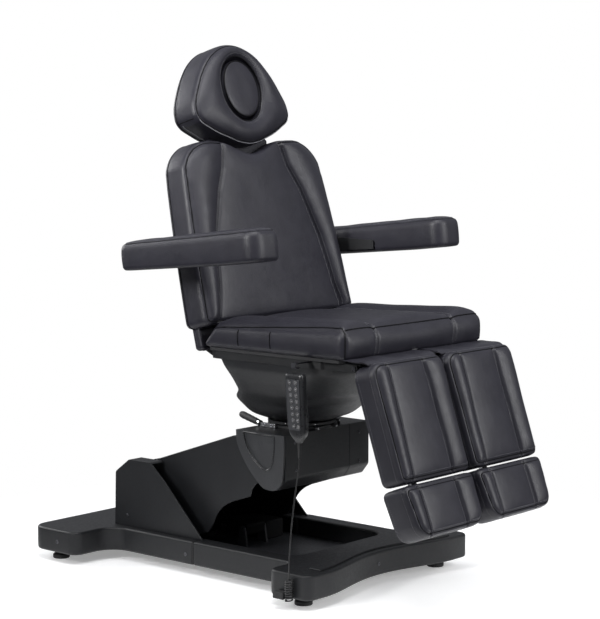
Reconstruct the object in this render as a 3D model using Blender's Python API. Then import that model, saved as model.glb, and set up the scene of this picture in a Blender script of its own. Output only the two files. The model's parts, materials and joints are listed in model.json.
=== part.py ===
"""Electric treatment chair with a single lift arm, a swivel seat, split leg rests and a hanging hand control.

Metres, +Z up. The sitter faces -Y, so the sitter's left side is +X. Places below are written from the foot
of the swivel axis; SWIVEL_Y then puts the middle of the whole object's box on the origin.
"""
import math

import bmesh
import bpy
from mathutils import Matrix, Vector

# ---------------------------------------------------------------- driving dimensions
SWIVEL_Y = -0.0305           # swivel axis, ahead of the middle of the object's box
GAP = 0.0003                 # clearance between pieces that touch
RUN = 0.0006                 # radial running clearance of a shaft

BASE_LOW, BASE_TOP = 0.026, 0.088
RAIL_OUT, RAIL_IN = 0.232, 0.180
FRONT_HALF, FRONT_Y, FRONT_BACK_Y = 0.325, -0.300, -0.165
FRONT_BOW, BOW_HALF = 0.045, 0.255
REAR_HALF, REAR_FRONT_Y, REAR_Y = 0.365, 0.475, 0.650
SEAM_Y = 0.175
TRAY_FRONT_Y = -0.130
FOOT_R = 0.0225
FEET = {"front_right": (-0.265, -0.233), "front_left": (0.265, -0.233),
        "rear_right": (-0.315, 0.585), "rear_left": (0.315, 0.585)}

HOUSING_HALF, HOUSING_WALL = 0.208, 0.004
HOUSING_TOP = 0.270

LIFT_PIVOT = Vector((0.0, 0.400, 0.170))
HEAD_PIVOT = Vector((0.0, 0.000, 0.305))
LINK_RISE = 0.045            # the tension link's pivots lie this far above the arm's pivots
LINK_X = 0.037
HORN_EYE = (0.024, -0.072)   # where the lift rod pulls, in the arm's own frame
ROD_EYE_R, ROD_EYE_HOLE = 0.0165, 0.0112     # the rod's eye is large, so the horn's pin floats in it
MOTOR_PIVOT = Vector((0.0, 0.190, 0.084))
SHAFT_R = 0.011
PIN_R = 0.005                # small pivot pins
MOTOR_X0, MOTOR_X1 = -0.020, 0.050
TRAY_TOP = 0.040

COVER_HALF, COVER_WALL = 0.158, 0.004
DRUM_R, DRUM_END = 0.078, 186     # rear end of the arm cover, rolled round the lower pivot
HEAD_HALF, HEAD_TOP, HEAD_LOW = 0.168, 0.384, 0.240
HEAD_FRONT_Y, HEAD_BACK_Y = -0.085, 0.079
HEAD_WALL = 0.006
CAP_SPLIT_X = 0.089

PLATE_R, PLATE_T = 0.090, 0.0085
COLUMN_R = 0.048
LEVER_PIVOT = Vector((-0.087, 0.014, 0.388))

SEAT_HALF, SEAT_FRONT_Y, SEAT_REAR_Y = 0.275, -0.367, 0.100
SEAT_LOW, SEAT_EDGE = 0.605, 0.672
SEAT_REAR_TOP_Y = 0.050
BOARD_T = 0.008
FRAME_T = 0.020
FRAME_LOW = SEAT_LOW - BOARD_T - 2 * GAP - FRAME_T

BACK_PIVOT = Vector((0.0, 0.115, 0.600))
BACK_FOOT = Vector((0.0, 0.058, 0.610))       # foot of the front face's line
BACK_LEAN = math.radians(14.0)
BACK_T = 0.070
BACK_LOW, BACK_TOP, BACK_DIP = 0.052, 0.522, 0.034

HEADREST_FOOT = Vector((0.0, 0.184, 1.106))
HEADREST_LEAN = math.radians(16.0)
HEADREST_T = 0.078
HEADREST_H = 0.2715
PLUG_A, PLUG_B = 0.066, 0.079
HEADREST_PIVOT_V = 0.095
POST_X, POST_R = 0.055, 0.0075

ARM_X0, ARM_X1 = 0.310, 0.412
ARM_REAR_Y, ARM_FRONT_Y = 0.250, -0.195
ARM_T, ARM_RISE = 0.068, math.radians(5.0)
ARM_PIVOT_Y, ARM_PIVOT_Z = 0.160, 0.836

LEG_PIVOT_Y, LEG_PIVOT_Z = -0.375, 0.586
LEG_TOP = Vector((0.0, -0.450, 0.607))        # front top edge of a leg pad
LEG_LEAN = math.radians(18.5)
LEG_X0, LEG_X1 = 0.008, 0.280
LEG_LEN, LEG_T = 0.285, 0.060
LEG_SHAFT_R = 0.006
SEAT_EAR_X, BACK_EAR_X, STRAP_X = 0.242, 0.234, 0.246     # ears on the seat frame and straps on the back
FOOT_TOP = Vector((0.0, -0.5480, 0.3265))
FOOT_LEAN = math.radians(21.5)
FOOT_LEN, FOOT_T = 0.122, 0.070

PENDANT_X, PENDANT_Y = -0.310, -0.247
PENDANT_TOP, PENDANT_LOW, PENDANT_TIP = 0.571, 0.403, 0.366
PENDANT_HALF, PENDANT_T = 0.0280, 0.0220
COIL_X, COIL_Y, COIL_R = -0.3385, -0.2500, 0.0105
COIL_LOW, COIL_TOP = 0.0220, 0.0770
CORD_D = 0.0036
# route of the straight lead, from the top of the coil up to the hand control
CORD_ROUTE = [(-0.3385, -0.2500, 0.0773), (-0.3381, -0.2501, 0.100), (-0.3362, -0.2506, 0.140),
              (-0.3325, -0.2518, 0.190), (-0.3273, -0.2537, 0.240), (-0.3210, -0.2562, 0.290),
              (-0.3145, -0.2588, 0.330), (-0.3110, -0.2603, 0.3655)]

BODIES = {  # body: (parent, pivot)
    "base": (None, Vector((0.0, 0.0, 0.0))),
    "lift_arm": ("base", LIFT_PIVOT),
    "tension_link": ("base", LIFT_PIVOT + Vector((0, 0, LINK_RISE))),
    "lift_motor": ("base", MOTOR_PIVOT),
    "lift_rod": ("lift_motor", MOTOR_PIVOT),
    "head": ("lift_arm", HEAD_PIVOT),
    "lock_lever": ("head", LEVER_PIVOT),
    "seat": ("head", Vector((0.0, 0.0, HEAD_TOP))),
    "backrest": ("seat", BACK_PIVOT),
}


# ---------------------------------------------------------------- materials
def material(name, colour, roughness, metallic=0.0):
    mat = bpy.data.materials.new(name)
    mat.use_nodes = True
    shader = mat.node_tree.nodes["Principled BSDF"]
    shader.inputs["Base Color"].default_value = (*colour, 1.0)
    shader.inputs["Roughness"].default_value = roughness
    shader.inputs["Metallic"].default_value = metallic
    return mat


def make_materials():
    return {
        "leather": material("leather", (0.040, 0.041, 0.050), 0.48),
        "plastic": material("plastic", (0.022, 0.023, 0.026), 0.50),
        "rubber": material("rubber", (0.012, 0.012, 0.013), 0.80),
        "chrome": material("chrome", (0.62, 0.62, 0.64), 0.15, 1.0),
        "steel": material("steel", (0.030, 0.031, 0.034), 0.42, 0.6),
        "wood": material("wood", (0.090, 0.060, 0.035), 0.65),
    }


# ---------------------------------------------------------------- building blocks
def side(name):
    """Sign of X for a piece's side: the sitter's left is +X."""
    return 1 if name.endswith("left") else -1


class Builder:
    def __init__(self):
        self.materials = make_materials()
        self.pivots = {}
        self.root = self.empty("chair", None, Vector((0, SWIVEL_Y, 0)))
        for name, (parent, pivot) in BODIES.items():
            self.add_body(name, parent, pivot)

    def empty(self, name, parent, location):
        obj = bpy.data.objects.new(name, None)
        obj.location = location
        obj.parent = parent
        bpy.context.scene.collection.objects.link(obj)
        return obj

    def add_body(self, name, parent, pivot):
        if parent is None:
            holder, origin = self.root, Vector((0, 0, 0))
        else:
            holder, origin = self.pivots[parent]
        self.pivots[name] = (self.empty("pivot_" + name, holder, pivot - origin), pivot)

    def add(self, name, bm, body, mat, bevel=0.0, segments=2, smooth=True, cutter=False):
        holder, pivot = self.pivots[body]
        bmesh.ops.translate(bm, verts=bm.verts, vec=-pivot)
        bmesh.ops.recalc_face_normals(bm, faces=bm.faces)
        mesh = bpy.data.meshes.new(name)
        bm.to_mesh(mesh)
        bm.free()
        obj = bpy.data.objects.new(name, mesh)
        obj.parent = holder
        bpy.context.scene.collection.objects.link(obj)
        if cutter:
            obj.hide_render = True
            obj.display_type = "WIRE"
            return obj
        mesh.materials.append(self.materials[mat])
        if bevel:
            add_bevel(obj, bevel, segments)
        if smooth:
            mesh.shade_smooth()
            mesh.set_sharp_from_angle(angle=math.radians(35))
        return obj


def add_bevel(obj, width, segments=2, angle=35):
    mod = obj.modifiers.new("Bevel", "BEVEL")
    mod.width = width
    mod.segments = segments
    mod.limit_method = "ANGLE"
    mod.angle_limit = math.radians(angle)


def boolean(obj, tool, operation="DIFFERENCE"):
    mod = obj.modifiers.new(operation.title(), "BOOLEAN")
    mod.operation = operation
    mod.object = tool


def arc(centre, radius, start, end, steps):
    """Points of an arc in degrees, both ends included."""
    points = []
    for i in range(steps + 1):
        a = math.radians(start + (end - start) * i / steps)
        points.append((centre[0] + radius * math.cos(a), centre[1] + radius * math.sin(a)))
    return points


def rounded(corners, steps=4):
    """Outline through (a, b, radius) corners; a corner with radius 0 stays sharp."""
    points = []
    count = len(corners)
    for i, (a, b, radius) in enumerate(corners):
        here = Vector((a, b))
        if radius == 0:
            points.append((a, b))
            continue
        before = (Vector(corners[i - 1][:2]) - here).normalized()
        after = (Vector(corners[(i + 1) % count][:2]) - here).normalized()
        half = before.angle(after) / 2
        reach = radius / math.tan(half)
        centre = here + (before + after).normalized() * (radius / math.sin(half))
        first, last = here + before * reach - centre, here + after * reach - centre
        sweep = first.angle_signed(last)
        for k in range(steps + 1):
            spot = centre + Matrix.Rotation(-sweep * k / steps, 2) @ first
            points.append((spot.x, spot.y))
    return points


def hull(points):
    """Convex outline round a few (a, b) points."""
    points = sorted(set(points))

    def chain(order):
        line = []
        for p in order:
            while len(line) > 1 and ((line[-1][0] - line[-2][0]) * (p[1] - line[-2][1])
                                     <= (line[-1][1] - line[-2][1]) * (p[0] - line[-2][0])):
                line.pop()
            line.append(p)
        return line[:-1]
    return chain(points) + chain(points[::-1])


AXES = {"X": (1, 2, 0), "Y": (0, 2, 1), "Z": (0, 1, 2)}


def prism(outline, low, high, axis="X", bm=None):
    """Straight extrusion of an outline; the outline's two numbers are the other two axes in order."""
    bm = bm or bmesh.new()
    ia, ib, ic = AXES[axis]
    rings = []
    for level in (low, high):
        ring = []
        for a, b in outline:
            co = [0.0, 0.0, 0.0]
            co[ia], co[ib], co[ic] = a, b, level
            ring.append(bm.verts.new(co))
        rings.append(ring)
    count = len(outline)
    for i in range(count):
        j = (i + 1) % count
        bm.faces.new((rings[0][i], rings[0][j], rings[1][j], rings[1][i]))
    bm.faces.new(rings[0])
    bm.faces.new(list(reversed(rings[1])))
    return bm


def box(low, high, bm=None):
    outline = [(low[0], low[1]), (high[0], low[1]), (high[0], high[1]), (low[0], high[1])]
    return prism(outline, low[2], high[2], "Z", bm)


def circle(centre, radius, count):
    return arc(centre, radius, 0, 360 - 360 / count, count - 1)


def rod(start, end, radius, count=16):
    """Round bar between two points."""
    start, end = Vector(start), Vector(end)
    bm = bmesh.new()
    turn = (end - start).to_track_quat("Z", "Y").to_matrix().to_4x4()
    length = (end - start).length
    prism(circle((0, 0), radius, count), 0.0, length, "Z", bm)
    bmesh.ops.transform(bm, matrix=Matrix.Translation(start) @ turn, verts=bm.verts)
    return bm


def cross_rod(spot, x0, x1, radius, count=16):
    """Round bar along X through a point, from x0 to x1."""
    return rod((x0, spot.y, spot.z), (x1, spot.y, spot.z), radius, count)


def loft(rings, ring_shaped=False):
    """Skin through equal rings of points; ends are capped, or joined when ring_shaped."""
    bm = bmesh.new()
    made = [[bm.verts.new(p) for p in ring] for ring in rings]
    count = len(made[0])
    pairs = list(zip(made, made[1:]))
    if ring_shaped:
        pairs.append((made[-1], made[0]))
    for low, high in pairs:
        for i in range(count):
            j = (i + 1) % count
            bm.faces.new((low[i], low[j], high[j], high[i]))
    if not ring_shaped:
        bm.faces.new(made[0])
        bm.faces.new(list(reversed(made[-1])))
    return bm


def slab(outline, foot, lean, t0, t1):
    """Extrude an outline of (x, v) through a leaning slab: v runs up its face, t runs to its back."""
    bm = prism(outline, t0, t1, "Y")
    frame = Matrix.Translation(foot) @ Matrix.Rotation(-lean, 4, "X")
    bmesh.ops.transform(bm, matrix=frame, verts=bm.verts)
    return bm


def on_slab(foot, lean, x, v, t):
    return Matrix.Translation(foot) @ Matrix.Rotation(-lean, 4, "X") @ Vector((x, t, v))


def mirror_x(outline):
    return [(-a, b) for a, b in reversed(outline)]


# ---------------------------------------------------------------- base
def front_bow():
    """Front edge of the base: both ends reach forward, the middle stands back."""
    steps = 10
    points = []
    for i in range(steps + 1):
        s = -1 + 2 * i / steps
        points.append((s * BOW_HALF, FRONT_Y + FRONT_BOW * (1 - s * s) ** 2))
    return points


def base_frames(b):
    near = rounded([(-RAIL_OUT, SEAM_Y - GAP, 0), (-RAIL_OUT, FRONT_BACK_Y, 0.020),
                    (-FRONT_HALF, FRONT_BACK_Y, 0.030), (-FRONT_HALF, FRONT_Y, 0.026),
                    (-BOW_HALF, FRONT_Y, 0)], 3)[:-1]
    far = [(-x, y) for x, y in reversed(near)]
    inner = rounded([(RAIL_IN, SEAM_Y - GAP, 0), (RAIL_IN, TRAY_FRONT_Y, 0.045),
                     (-RAIL_IN, TRAY_FRONT_Y, 0.045), (-RAIL_IN, SEAM_Y - GAP, 0)], 5)
    outline = near + front_bow() + far + inner
    b.add("base_front_frame", prism(outline, BASE_LOW, BASE_TOP, "Z"), "base", "plastic", 0.006)

    mid = (REAR_FRONT_Y + REAR_Y) / 2
    near = rounded([(-REAR_HALF, mid, 0), (-REAR_HALF, REAR_FRONT_Y, 0.030),
                    (-RAIL_OUT, REAR_FRONT_Y, 0.030), (-RAIL_OUT, SEAM_Y + GAP, 0)], 3)
    inner = rounded([(-RAIL_IN, SEAM_Y + GAP, 0), (-RAIL_IN, REAR_FRONT_Y - 0.01, 0.030),
                     (RAIL_IN, REAR_FRONT_Y - 0.01, 0.030), (RAIL_IN, SEAM_Y + GAP, 0)], 5)
    far = [(-x, y) for x, y in reversed(near)]
    back = rounded([(REAR_HALF, mid, 0), (REAR_HALF, REAR_Y, 0.045), (-REAR_HALF, REAR_Y, 0.045),
                    (-REAR_HALF, mid, 0)], 3)[1:-1]
    outline = near + inner + far + back
    b.add("base_rear_frame", prism(outline, BASE_LOW, BASE_TOP, "Z"), "base", "plastic", 0.006)

    lip = RAIL_IN - GAP
    rim = rounded([(-lip, TRAY_FRONT_Y + GAP, 0.045), (lip, TRAY_FRONT_Y + GAP, 0.045),
                   (lip, REAR_FRONT_Y - 0.01 - GAP, 0.030), (-lip, REAR_FRONT_Y - 0.01 - GAP, 0.030)], 5)
    tray = b.add("base_tray", prism(rim, 0.030, TRAY_TOP, "Z"), "base", "plastic")
    ear = hull([(MOTOR_PIVOT.y - 0.018, 0.035), (MOTOR_PIVOT.y + 0.018, 0.035)]
               + circle((MOTOR_PIVOT.y, MOTOR_PIVOT.z), 0.010, 12))
    for tag, x in (("near", MOTOR_X0 - 0.007), ("far", MOTOR_X1 + 0.001)):
        boolean(tray, b.add("join_ear_" + tag, prism(ear, x, x + 0.006), "base", None, cutter=True), "UNION")
    pin = cross_rod(MOTOR_PIVOT, MOTOR_X0 - 0.009, MOTOR_X1 + 0.009, PIN_R, 12)
    boolean(tray, b.add("join_motor_pin", pin, "base", None, cutter=True), "UNION")


def levelling_feet(b):
    for name, (x, y) in FEET.items():
        profile = [(FOOT_R, 0.0), (FOOT_R, 0.009), (0.019, 0.0135), (0.011, 0.0145), (0.011, BASE_LOW - GAP)]
        rings = [[(x + p[0], y + p[1], z) for p in circle((0, 0), r, 20)] for r, z in profile]
        b.add("levelling_foot_" + name, loft(rings), "base", "rubber")


def rear_housing(b):
    outline = rounded([(0.488, BASE_TOP + GAP, 0), (0.484, 0.232, 0.012), (0.432, HOUSING_TOP, 0.015),
                       (0.352, HOUSING_TOP, 0.012), (0.298, 0.226, 0.05), (0.160, BASE_TOP + GAP, 0)], 3)
    shell = b.add("rear_housing", prism(outline, -HOUSING_HALF, HOUSING_HALF), "base", "plastic")
    wall = HOUSING_WALL
    hollow = rounded([(0.484, 0.0, 0), (0.480, 0.229, 0.010), (0.430, HOUSING_TOP - wall, 0.012),
                      (0.100, HOUSING_TOP - wall, 0), (0.100, 0.0, 0)], 3)
    inner = HOUSING_HALF - wall
    boolean(shell, b.add("cut_housing", prism(hollow, -inner, inner), "base", None, cutter=True))
    slot = box((-0.164, 0.10, 0.10), (0.164, 0.457, 0.30))
    boolean(shell, b.add("cut_housing_slot", slot, "base", None, cutter=True))
    add_bevel(shell, 0.0015, 1)


def lift_bracket(b):
    """U bracket on the tray that carries the lower pivots."""
    cheeks = rounded([(0.345, 0.0403, 0), (0.435, 0.0403, 0), (0.420, 0.230, 0.018), (0.378, 0.230, 0.018)], 3)
    bracket = b.add("lift_bracket", prism(cheeks, -0.060, 0.060), "base", "steel")
    gap = b.add("cut_bracket", box((-0.052, 0.30, 0.048), (0.052, 0.50, 0.30)), "base", None, cutter=True)
    boolean(bracket, gap)
    bore = cross_rod(LIFT_PIVOT, -0.1, 0.1, SHAFT_R + GAP)
    boolean(bracket, b.add("cut_bracket_bore", bore, "base", None, cutter=True))
    pin = cross_rod(LIFT_PIVOT + Vector((0, 0, LINK_RISE)), LINK_X - 0.010, 0.056, PIN_R, 12)
    boolean(bracket, b.add("join_link_pin", pin, "base", None, cutter=True), "UNION")
    b.add("lower_pivot_shaft", cross_rod(LIFT_PIVOT, -0.066, 0.066, SHAFT_R), "base", "chrome")


def base_electrics(b):
    b.add("control_box", box((0.070, 0.190, 0.0403), (0.140, 0.300, 0.090)), "base", "plastic", 0.003, 1)
    inlet = box((-0.140, 0.4883, 0.120), (-0.090, 0.500, 0.155))
    b.add("mains_inlet", inlet, "base", "plastic", 0.002, 1)
    gland = box((-0.3480, COIL_Y + COIL_R + GAP, 0.0225), (-FRONT_HALF - GAP, -0.205, 0.0400))
    bmesh.ops.translate(gland, verts=gland.verts, vec=(0, 0, 0.004))
    b.add("pendant_cord_gland", gland, "base", "rubber", 0.003, 2)


# ---------------------------------------------------------------- lift arm, link and actuator
def arm_matrix():
    """Arm frame: u runs from the lower pivot to the head, w is square to it, upwards."""
    along = (HEAD_PIVOT - LIFT_PIVOT)
    angle = math.atan2(along.z, -along.y)
    return Matrix.Translation(LIFT_PIVOT) @ Matrix.Rotation(-angle, 4, "X") @ Matrix.Diagonal((1, -1, 1, 1))


def arm_length():
    return (HEAD_PIVOT - LIFT_PIVOT).length


def horn_eye():
    return arm_matrix() @ Vector((0.0, *HORN_EYE))


def arm_prism(outline, low, high):
    bm = prism(outline, low, high)
    bmesh.ops.transform(bm, matrix=arm_matrix(), verts=bm.verts)
    return bm


def lift_arm(b):
    end = arm_length()
    beam = (arc((0, 0), 0.026, 90, 270, 6) + arc((end, 0), 0.024, -90, 90, 6))
    arm = b.add("lift_arm", arm_prism(beam, -0.024, 0.024), "lift_arm", "steel")
    plates = arm_prism(hull([(-0.014, 0.0), (0.014, 0.0)] + circle(HORN_EYE, 0.012, 12)), -0.019, 0.019)
    boolean(arm, b.add("join_horn", plates, "lift_arm", None, cutter=True), "UNION")
    fork = box((-0.0095, 0.30, 0.060), (0.0095, 0.45, 0.1425))
    boolean(arm, b.add("cut_fork", fork, "lift_arm", None, cutter=True))
    pin = cross_rod(horn_eye(), -0.0185, 0.0185, PIN_R, 12)
    boolean(arm, b.add("join_horn_pin", pin, "lift_arm", None, cutter=True), "UNION")
    for tag, pivot in (("lower", LIFT_PIVOT), ("upper", HEAD_PIVOT)):
        bore = cross_rod(pivot, -0.1, 0.1, SHAFT_R + RUN)
        boolean(arm, b.add("cut_arm_" + tag, bore, "lift_arm", None, cutter=True))


def cover_outline():
    end = arm_length()
    top = [(0.020, 0.0840), (0.060, 0.0880), (0.345, 0.0880), (0.372, 0.080)]
    front = [(0.395, 0.055), (end - 0.002, 0.020), (end - 0.002, -0.044), (end - 0.038, -0.048),
             (end - 0.056, -0.058), (end - 0.066, -0.0750)]
    low = [(0.290, -0.0750), (0.262, -0.0790), (0.238, -0.0880), (0.218, -0.1020), (0.200, -0.1200),
           (0.178, -0.1350), (0.120, -0.1350), (0.030, -0.1150)]
    drum = arc((0, 0), DRUM_R, DRUM_END, 105, 8)
    return top + front + low + drum


def arm_cover(b):
    outline = cover_outline()
    cover = b.add("arm_cover", arm_prism(outline, -COVER_HALF, COVER_HALF), "lift_arm", "plastic")
    wall = COVER_WALL
    top = [(0.020, 0.0840 - wall), (0.060, 0.0880 - wall), (0.345, 0.0880 - wall), (0.372, 0.080 - wall),
           (0.60, 0.080 - wall)]
    drum = arc((0, 0), DRUM_R - wall, DRUM_END, 105, 8)
    low = [(0.60, -0.20), (drum[0][0], -0.20)]
    inner = COVER_HALF - wall
    hollow = arm_prism(top + low + drum, -inner, inner)
    boolean(cover, b.add("cut_cover", hollow, "lift_arm", None, cutter=True))


def tension_link(b):
    rise = Vector((0, 0, LINK_RISE))
    low, high = LIFT_PIVOT + rise, HEAD_PIVOT + rise
    length = (high - low).length
    bar = arc((0, 0), 0.011, 90, 270, 5) + arc((length, 0), 0.011, -90, 90, 5)
    bm = arm_prism(bar, LINK_X - 0.006, LINK_X + 0.006)
    bmesh.ops.translate(bm, verts=bm.verts, vec=rise)
    link = b.add("tension_link", bm, "tension_link", "steel")
    for tag, spot in (("low", low), ("high", high)):
        hole = cross_rod(spot, 0.0, 0.1, PIN_R + RUN, 12)
        boolean(link, b.add("cut_link_" + tag, hole, "tension_link", None, cutter=True))


def lift_actuator(b):
    """Motor on the tray; its rod pulls the arm's horn. Built level, then aimed at the horn's eye."""
    base, eye = MOTOR_PIVOT, horn_eye()
    reach = (eye - base).length
    aim = Matrix.Translation(base) @ Matrix.Rotation(math.atan2(eye.z - base.z, eye.y - base.y), 4, "X")

    def aimed(bm):
        bmesh.ops.transform(bm, matrix=aim, verts=bm.verts)
        return bm
    block = rounded([(-0.012, -0.016, 0.006), (0.062, -0.016, 0.006), (0.062, 0.016, 0.006),
                     (-0.012, 0.016, 0.006)], 2)
    motor = b.add("lift_motor", aimed(prism(block, MOTOR_X0, MOTOR_X1)), "lift_motor", "plastic")
    tube = aimed(rod((0, 0.050, 0), (0, 0.108, 0), 0.0150))
    boolean(motor, b.add("join_tube", tube, "lift_motor", None, cutter=True), "UNION")
    hollow = aimed(rod((0, 0.030, 0), (0, 0.30, 0), 0.0086))
    boolean(motor, b.add("cut_tube", hollow, "lift_motor", None, cutter=True))
    bore = cross_rod(base, -0.1, 0.1, PIN_R + RUN, 12)
    boolean(motor, b.add("cut_motor_eye", bore, "lift_motor", None, cutter=True))
    pull = b.add("lift_rod", aimed(rod((0, 0.060, 0), (0, reach - 0.013, 0), 0.0080)), "lift_rod", "chrome")
    ring = cross_rod(eye, -0.0080, 0.0080, ROD_EYE_R, 20)
    boolean(pull, b.add("join_rod_eye", ring, "lift_rod", None, cutter=True), "UNION")
    hole = cross_rod(eye, -0.05, 0.05, ROD_EYE_HOLE, 16)
    boolean(pull, b.add("cut_rod_eye", hole, "lift_rod", None, cutter=True))


# ---------------------------------------------------------------- head under the seat
def head_outline(inset=0.0):
    """Shield shape of the head's side, in (y, z): straight front and top, the back swept to the foot."""
    front, back, low, top = HEAD_FRONT_Y + inset, HEAD_BACK_Y - inset, HEAD_LOW + inset, HEAD_TOP
    sweep = [(-0.030, low + 0.001), (back - 0.075, top - 0.132), (back - 0.043, top - 0.108),
             (back - 0.020, top - 0.078), (back - 0.006, top - 0.040), (back, top)]
    corners = [(front, top, 0), (front, low + 0.030, 0.018), (front + 0.022, low + 0.003, 0.012), (-0.052, low, 0)]
    return rounded(corners + [(y, z, 0) for y, z in sweep], 3)


def head(b):
    half, wall = HEAD_HALF, HEAD_WALL
    top = HEAD_TOP - 0.012
    plate = box((-half + wall + GAP, HEAD_FRONT_Y + wall + GAP, top), (half - wall - GAP, HEAD_BACK_Y, HEAD_TOP))
    casting = b.add("head_casting", plate, "head", "steel")
    cheek = rounded([(-0.036, top + 0.004, 0), (0.036, top + 0.004, 0), (0.024, 0.278, 0.020),
                     (-0.024, 0.278, 0.020)], 3)
    for tag, x in (("right", -0.062), ("left", 0.050)):
        boolean(casting, b.add("join_cheek_" + tag, prism(cheek, x, x + 0.012), "head", None, cutter=True), "UNION")
    bore = cross_rod(HEAD_PIVOT, -0.1, 0.1, SHAFT_R + GAP)
    boolean(casting, b.add("cut_casting", bore, "head", None, cutter=True))
    pin = cross_rod(HEAD_PIVOT + Vector((0, 0, LINK_RISE)), LINK_X - 0.010, 0.056, PIN_R, 12)
    boolean(casting, b.add("join_link_pin_head", pin, "head", None, cutter=True), "UNION")
    b.add("upper_pivot_shaft", cross_rod(HEAD_PIVOT, -0.070, 0.070, SHAFT_R), "head", "chrome")

    b.add("head_cover_right", prism(head_outline(), -half, -half + wall), "head", "plastic", 0.002, 2)
    cap = b.add("head_cover_left", prism(head_outline(), CAP_SPLIT_X + GAP, half), "head", "plastic", 0.002, 2)
    inner = [(HEAD_FRONT_Y + wall, 0.50), (HEAD_FRONT_Y + wall, HEAD_LOW + 0.028), (-0.062, HEAD_LOW + 0.008),
             (-0.052, HEAD_LOW + 0.0065), (-0.020, HEAD_LOW + 0.0065), (-0.020, 0.10), (0.20, 0.10), (0.20, 0.50)]
    boolean(cap, b.add("cut_cap", prism(inner, 0.0, half - wall), "head", None, cutter=True))

    skin = 0.005
    strip = head_outline()[:-6] + [(-0.021, HEAD_LOW + 0.001), (-0.021, HEAD_LOW + 0.006), (-0.052, HEAD_LOW + 0.006),
                          (-0.060, HEAD_LOW + 0.008), (HEAD_FRONT_Y + skin, HEAD_LOW + 0.030),
                          (HEAD_FRONT_Y + skin, HEAD_TOP)]
    b.add("head_front_panel", prism(strip, -half + wall + GAP, CAP_SPLIT_X - GAP), "head", "plastic")


def turntable(b):
    low = HEAD_TOP + GAP
    for name, body, z in (("turntable_lower_plate", "head", low),
                          ("turntable_upper_plate", "seat", low + PLATE_T + 0.0015)):
        outline = circle((0, 0), PLATE_R, 32)
        b.add(name, prism(outline, z, z + PLATE_T, "Z"), body, "steel", 0.0012, 1)


def lock_lever(b):
    x, y, z = LEVER_PIVOT
    clamp = box((x - 0.0145, y - 0.008, z - 0.0035), (x - 0.005, y + 0.042, z + 0.0085))
    b.add("lever_clamp", clamp, "lock_lever", "chrome", 0.002, 1)
    low = Vector((x - 0.0097, y + 0.0448, z + 0.0050))
    way = Vector((0.052, 0.136, 0.012)).normalized()
    profile = [(0.000, 0.0050), (0.012, 0.0055), (0.014, 0.0080), (0.100, 0.0095), (0.110, 0.0080), (0.114, 0.004)]
    turn = way.to_track_quat("Z", "Y").to_matrix()
    rings = []
    for along, radius in profile:
        rings.append([low + turn @ Vector((px, py, along)) for px, py in circle((0, 0), radius, 14)])
    b.add("lever_grip", loft(rings), "lock_lever", "rubber")


# ---------------------------------------------------------------- seat
def super_ring(x0, x1, y0, y1, power, z, count=36):
    """Ring between a box and an ellipse; a high power gives a squarer ring."""
    cx, cy, ax, ay = (x0 + x1) / 2, (y0 + y1) / 2, (x1 - x0) / 2, (y1 - y0) / 2
    ring = []
    for i in range(count):
        a = 2 * math.pi * (i + 0.5) / count
        c, s = math.cos(a), math.sin(a)
        ring.append((cx + ax * math.copysign(abs(c) ** (2 / power), c),
                     cy + ay * math.copysign(abs(s) ** (2 / power), s), z))
    return ring


def under_seat_cover(b):
    sections = [  # half width, front, rear, squareness, height
        (0.259, -0.298, 0.093, 6.0, FRAME_LOW - GAP), (0.256, -0.294, 0.092, 5.0, 0.556),
        (0.238, -0.270, 0.090, 4.0, 0.5250), (0.212, -0.235, 0.098, 3.2, 0.4900),
        (0.172, -0.176, 0.164, 2.2, 0.4600), (0.136, -0.136, 0.136, 2.0, 0.4225),
        (0.088, -0.088, 0.088, 2.0, 0.4055),
    ]
    wall = 0.004
    outer = [super_ring(-h, h, y0, y1, p, z) for h, y0, y1, p, z in sections]
    inner = [super_ring(-h + wall, h - wall, y0 + wall, y1 - wall, p, z + (wall if k else 0))
             for k, (h, y0, y1, p, z) in enumerate(sections)]
    hole = COLUMN_R + 0.006
    ends = [super_ring(-hole, hole, -hole, hole, 2.0, z) for z in (0.4052, 0.4095)]
    rings = outer + ends + list(reversed(inner))
    b.add("under_seat_cover", loft(rings, ring_shaped=True), "seat", "plastic")


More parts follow.
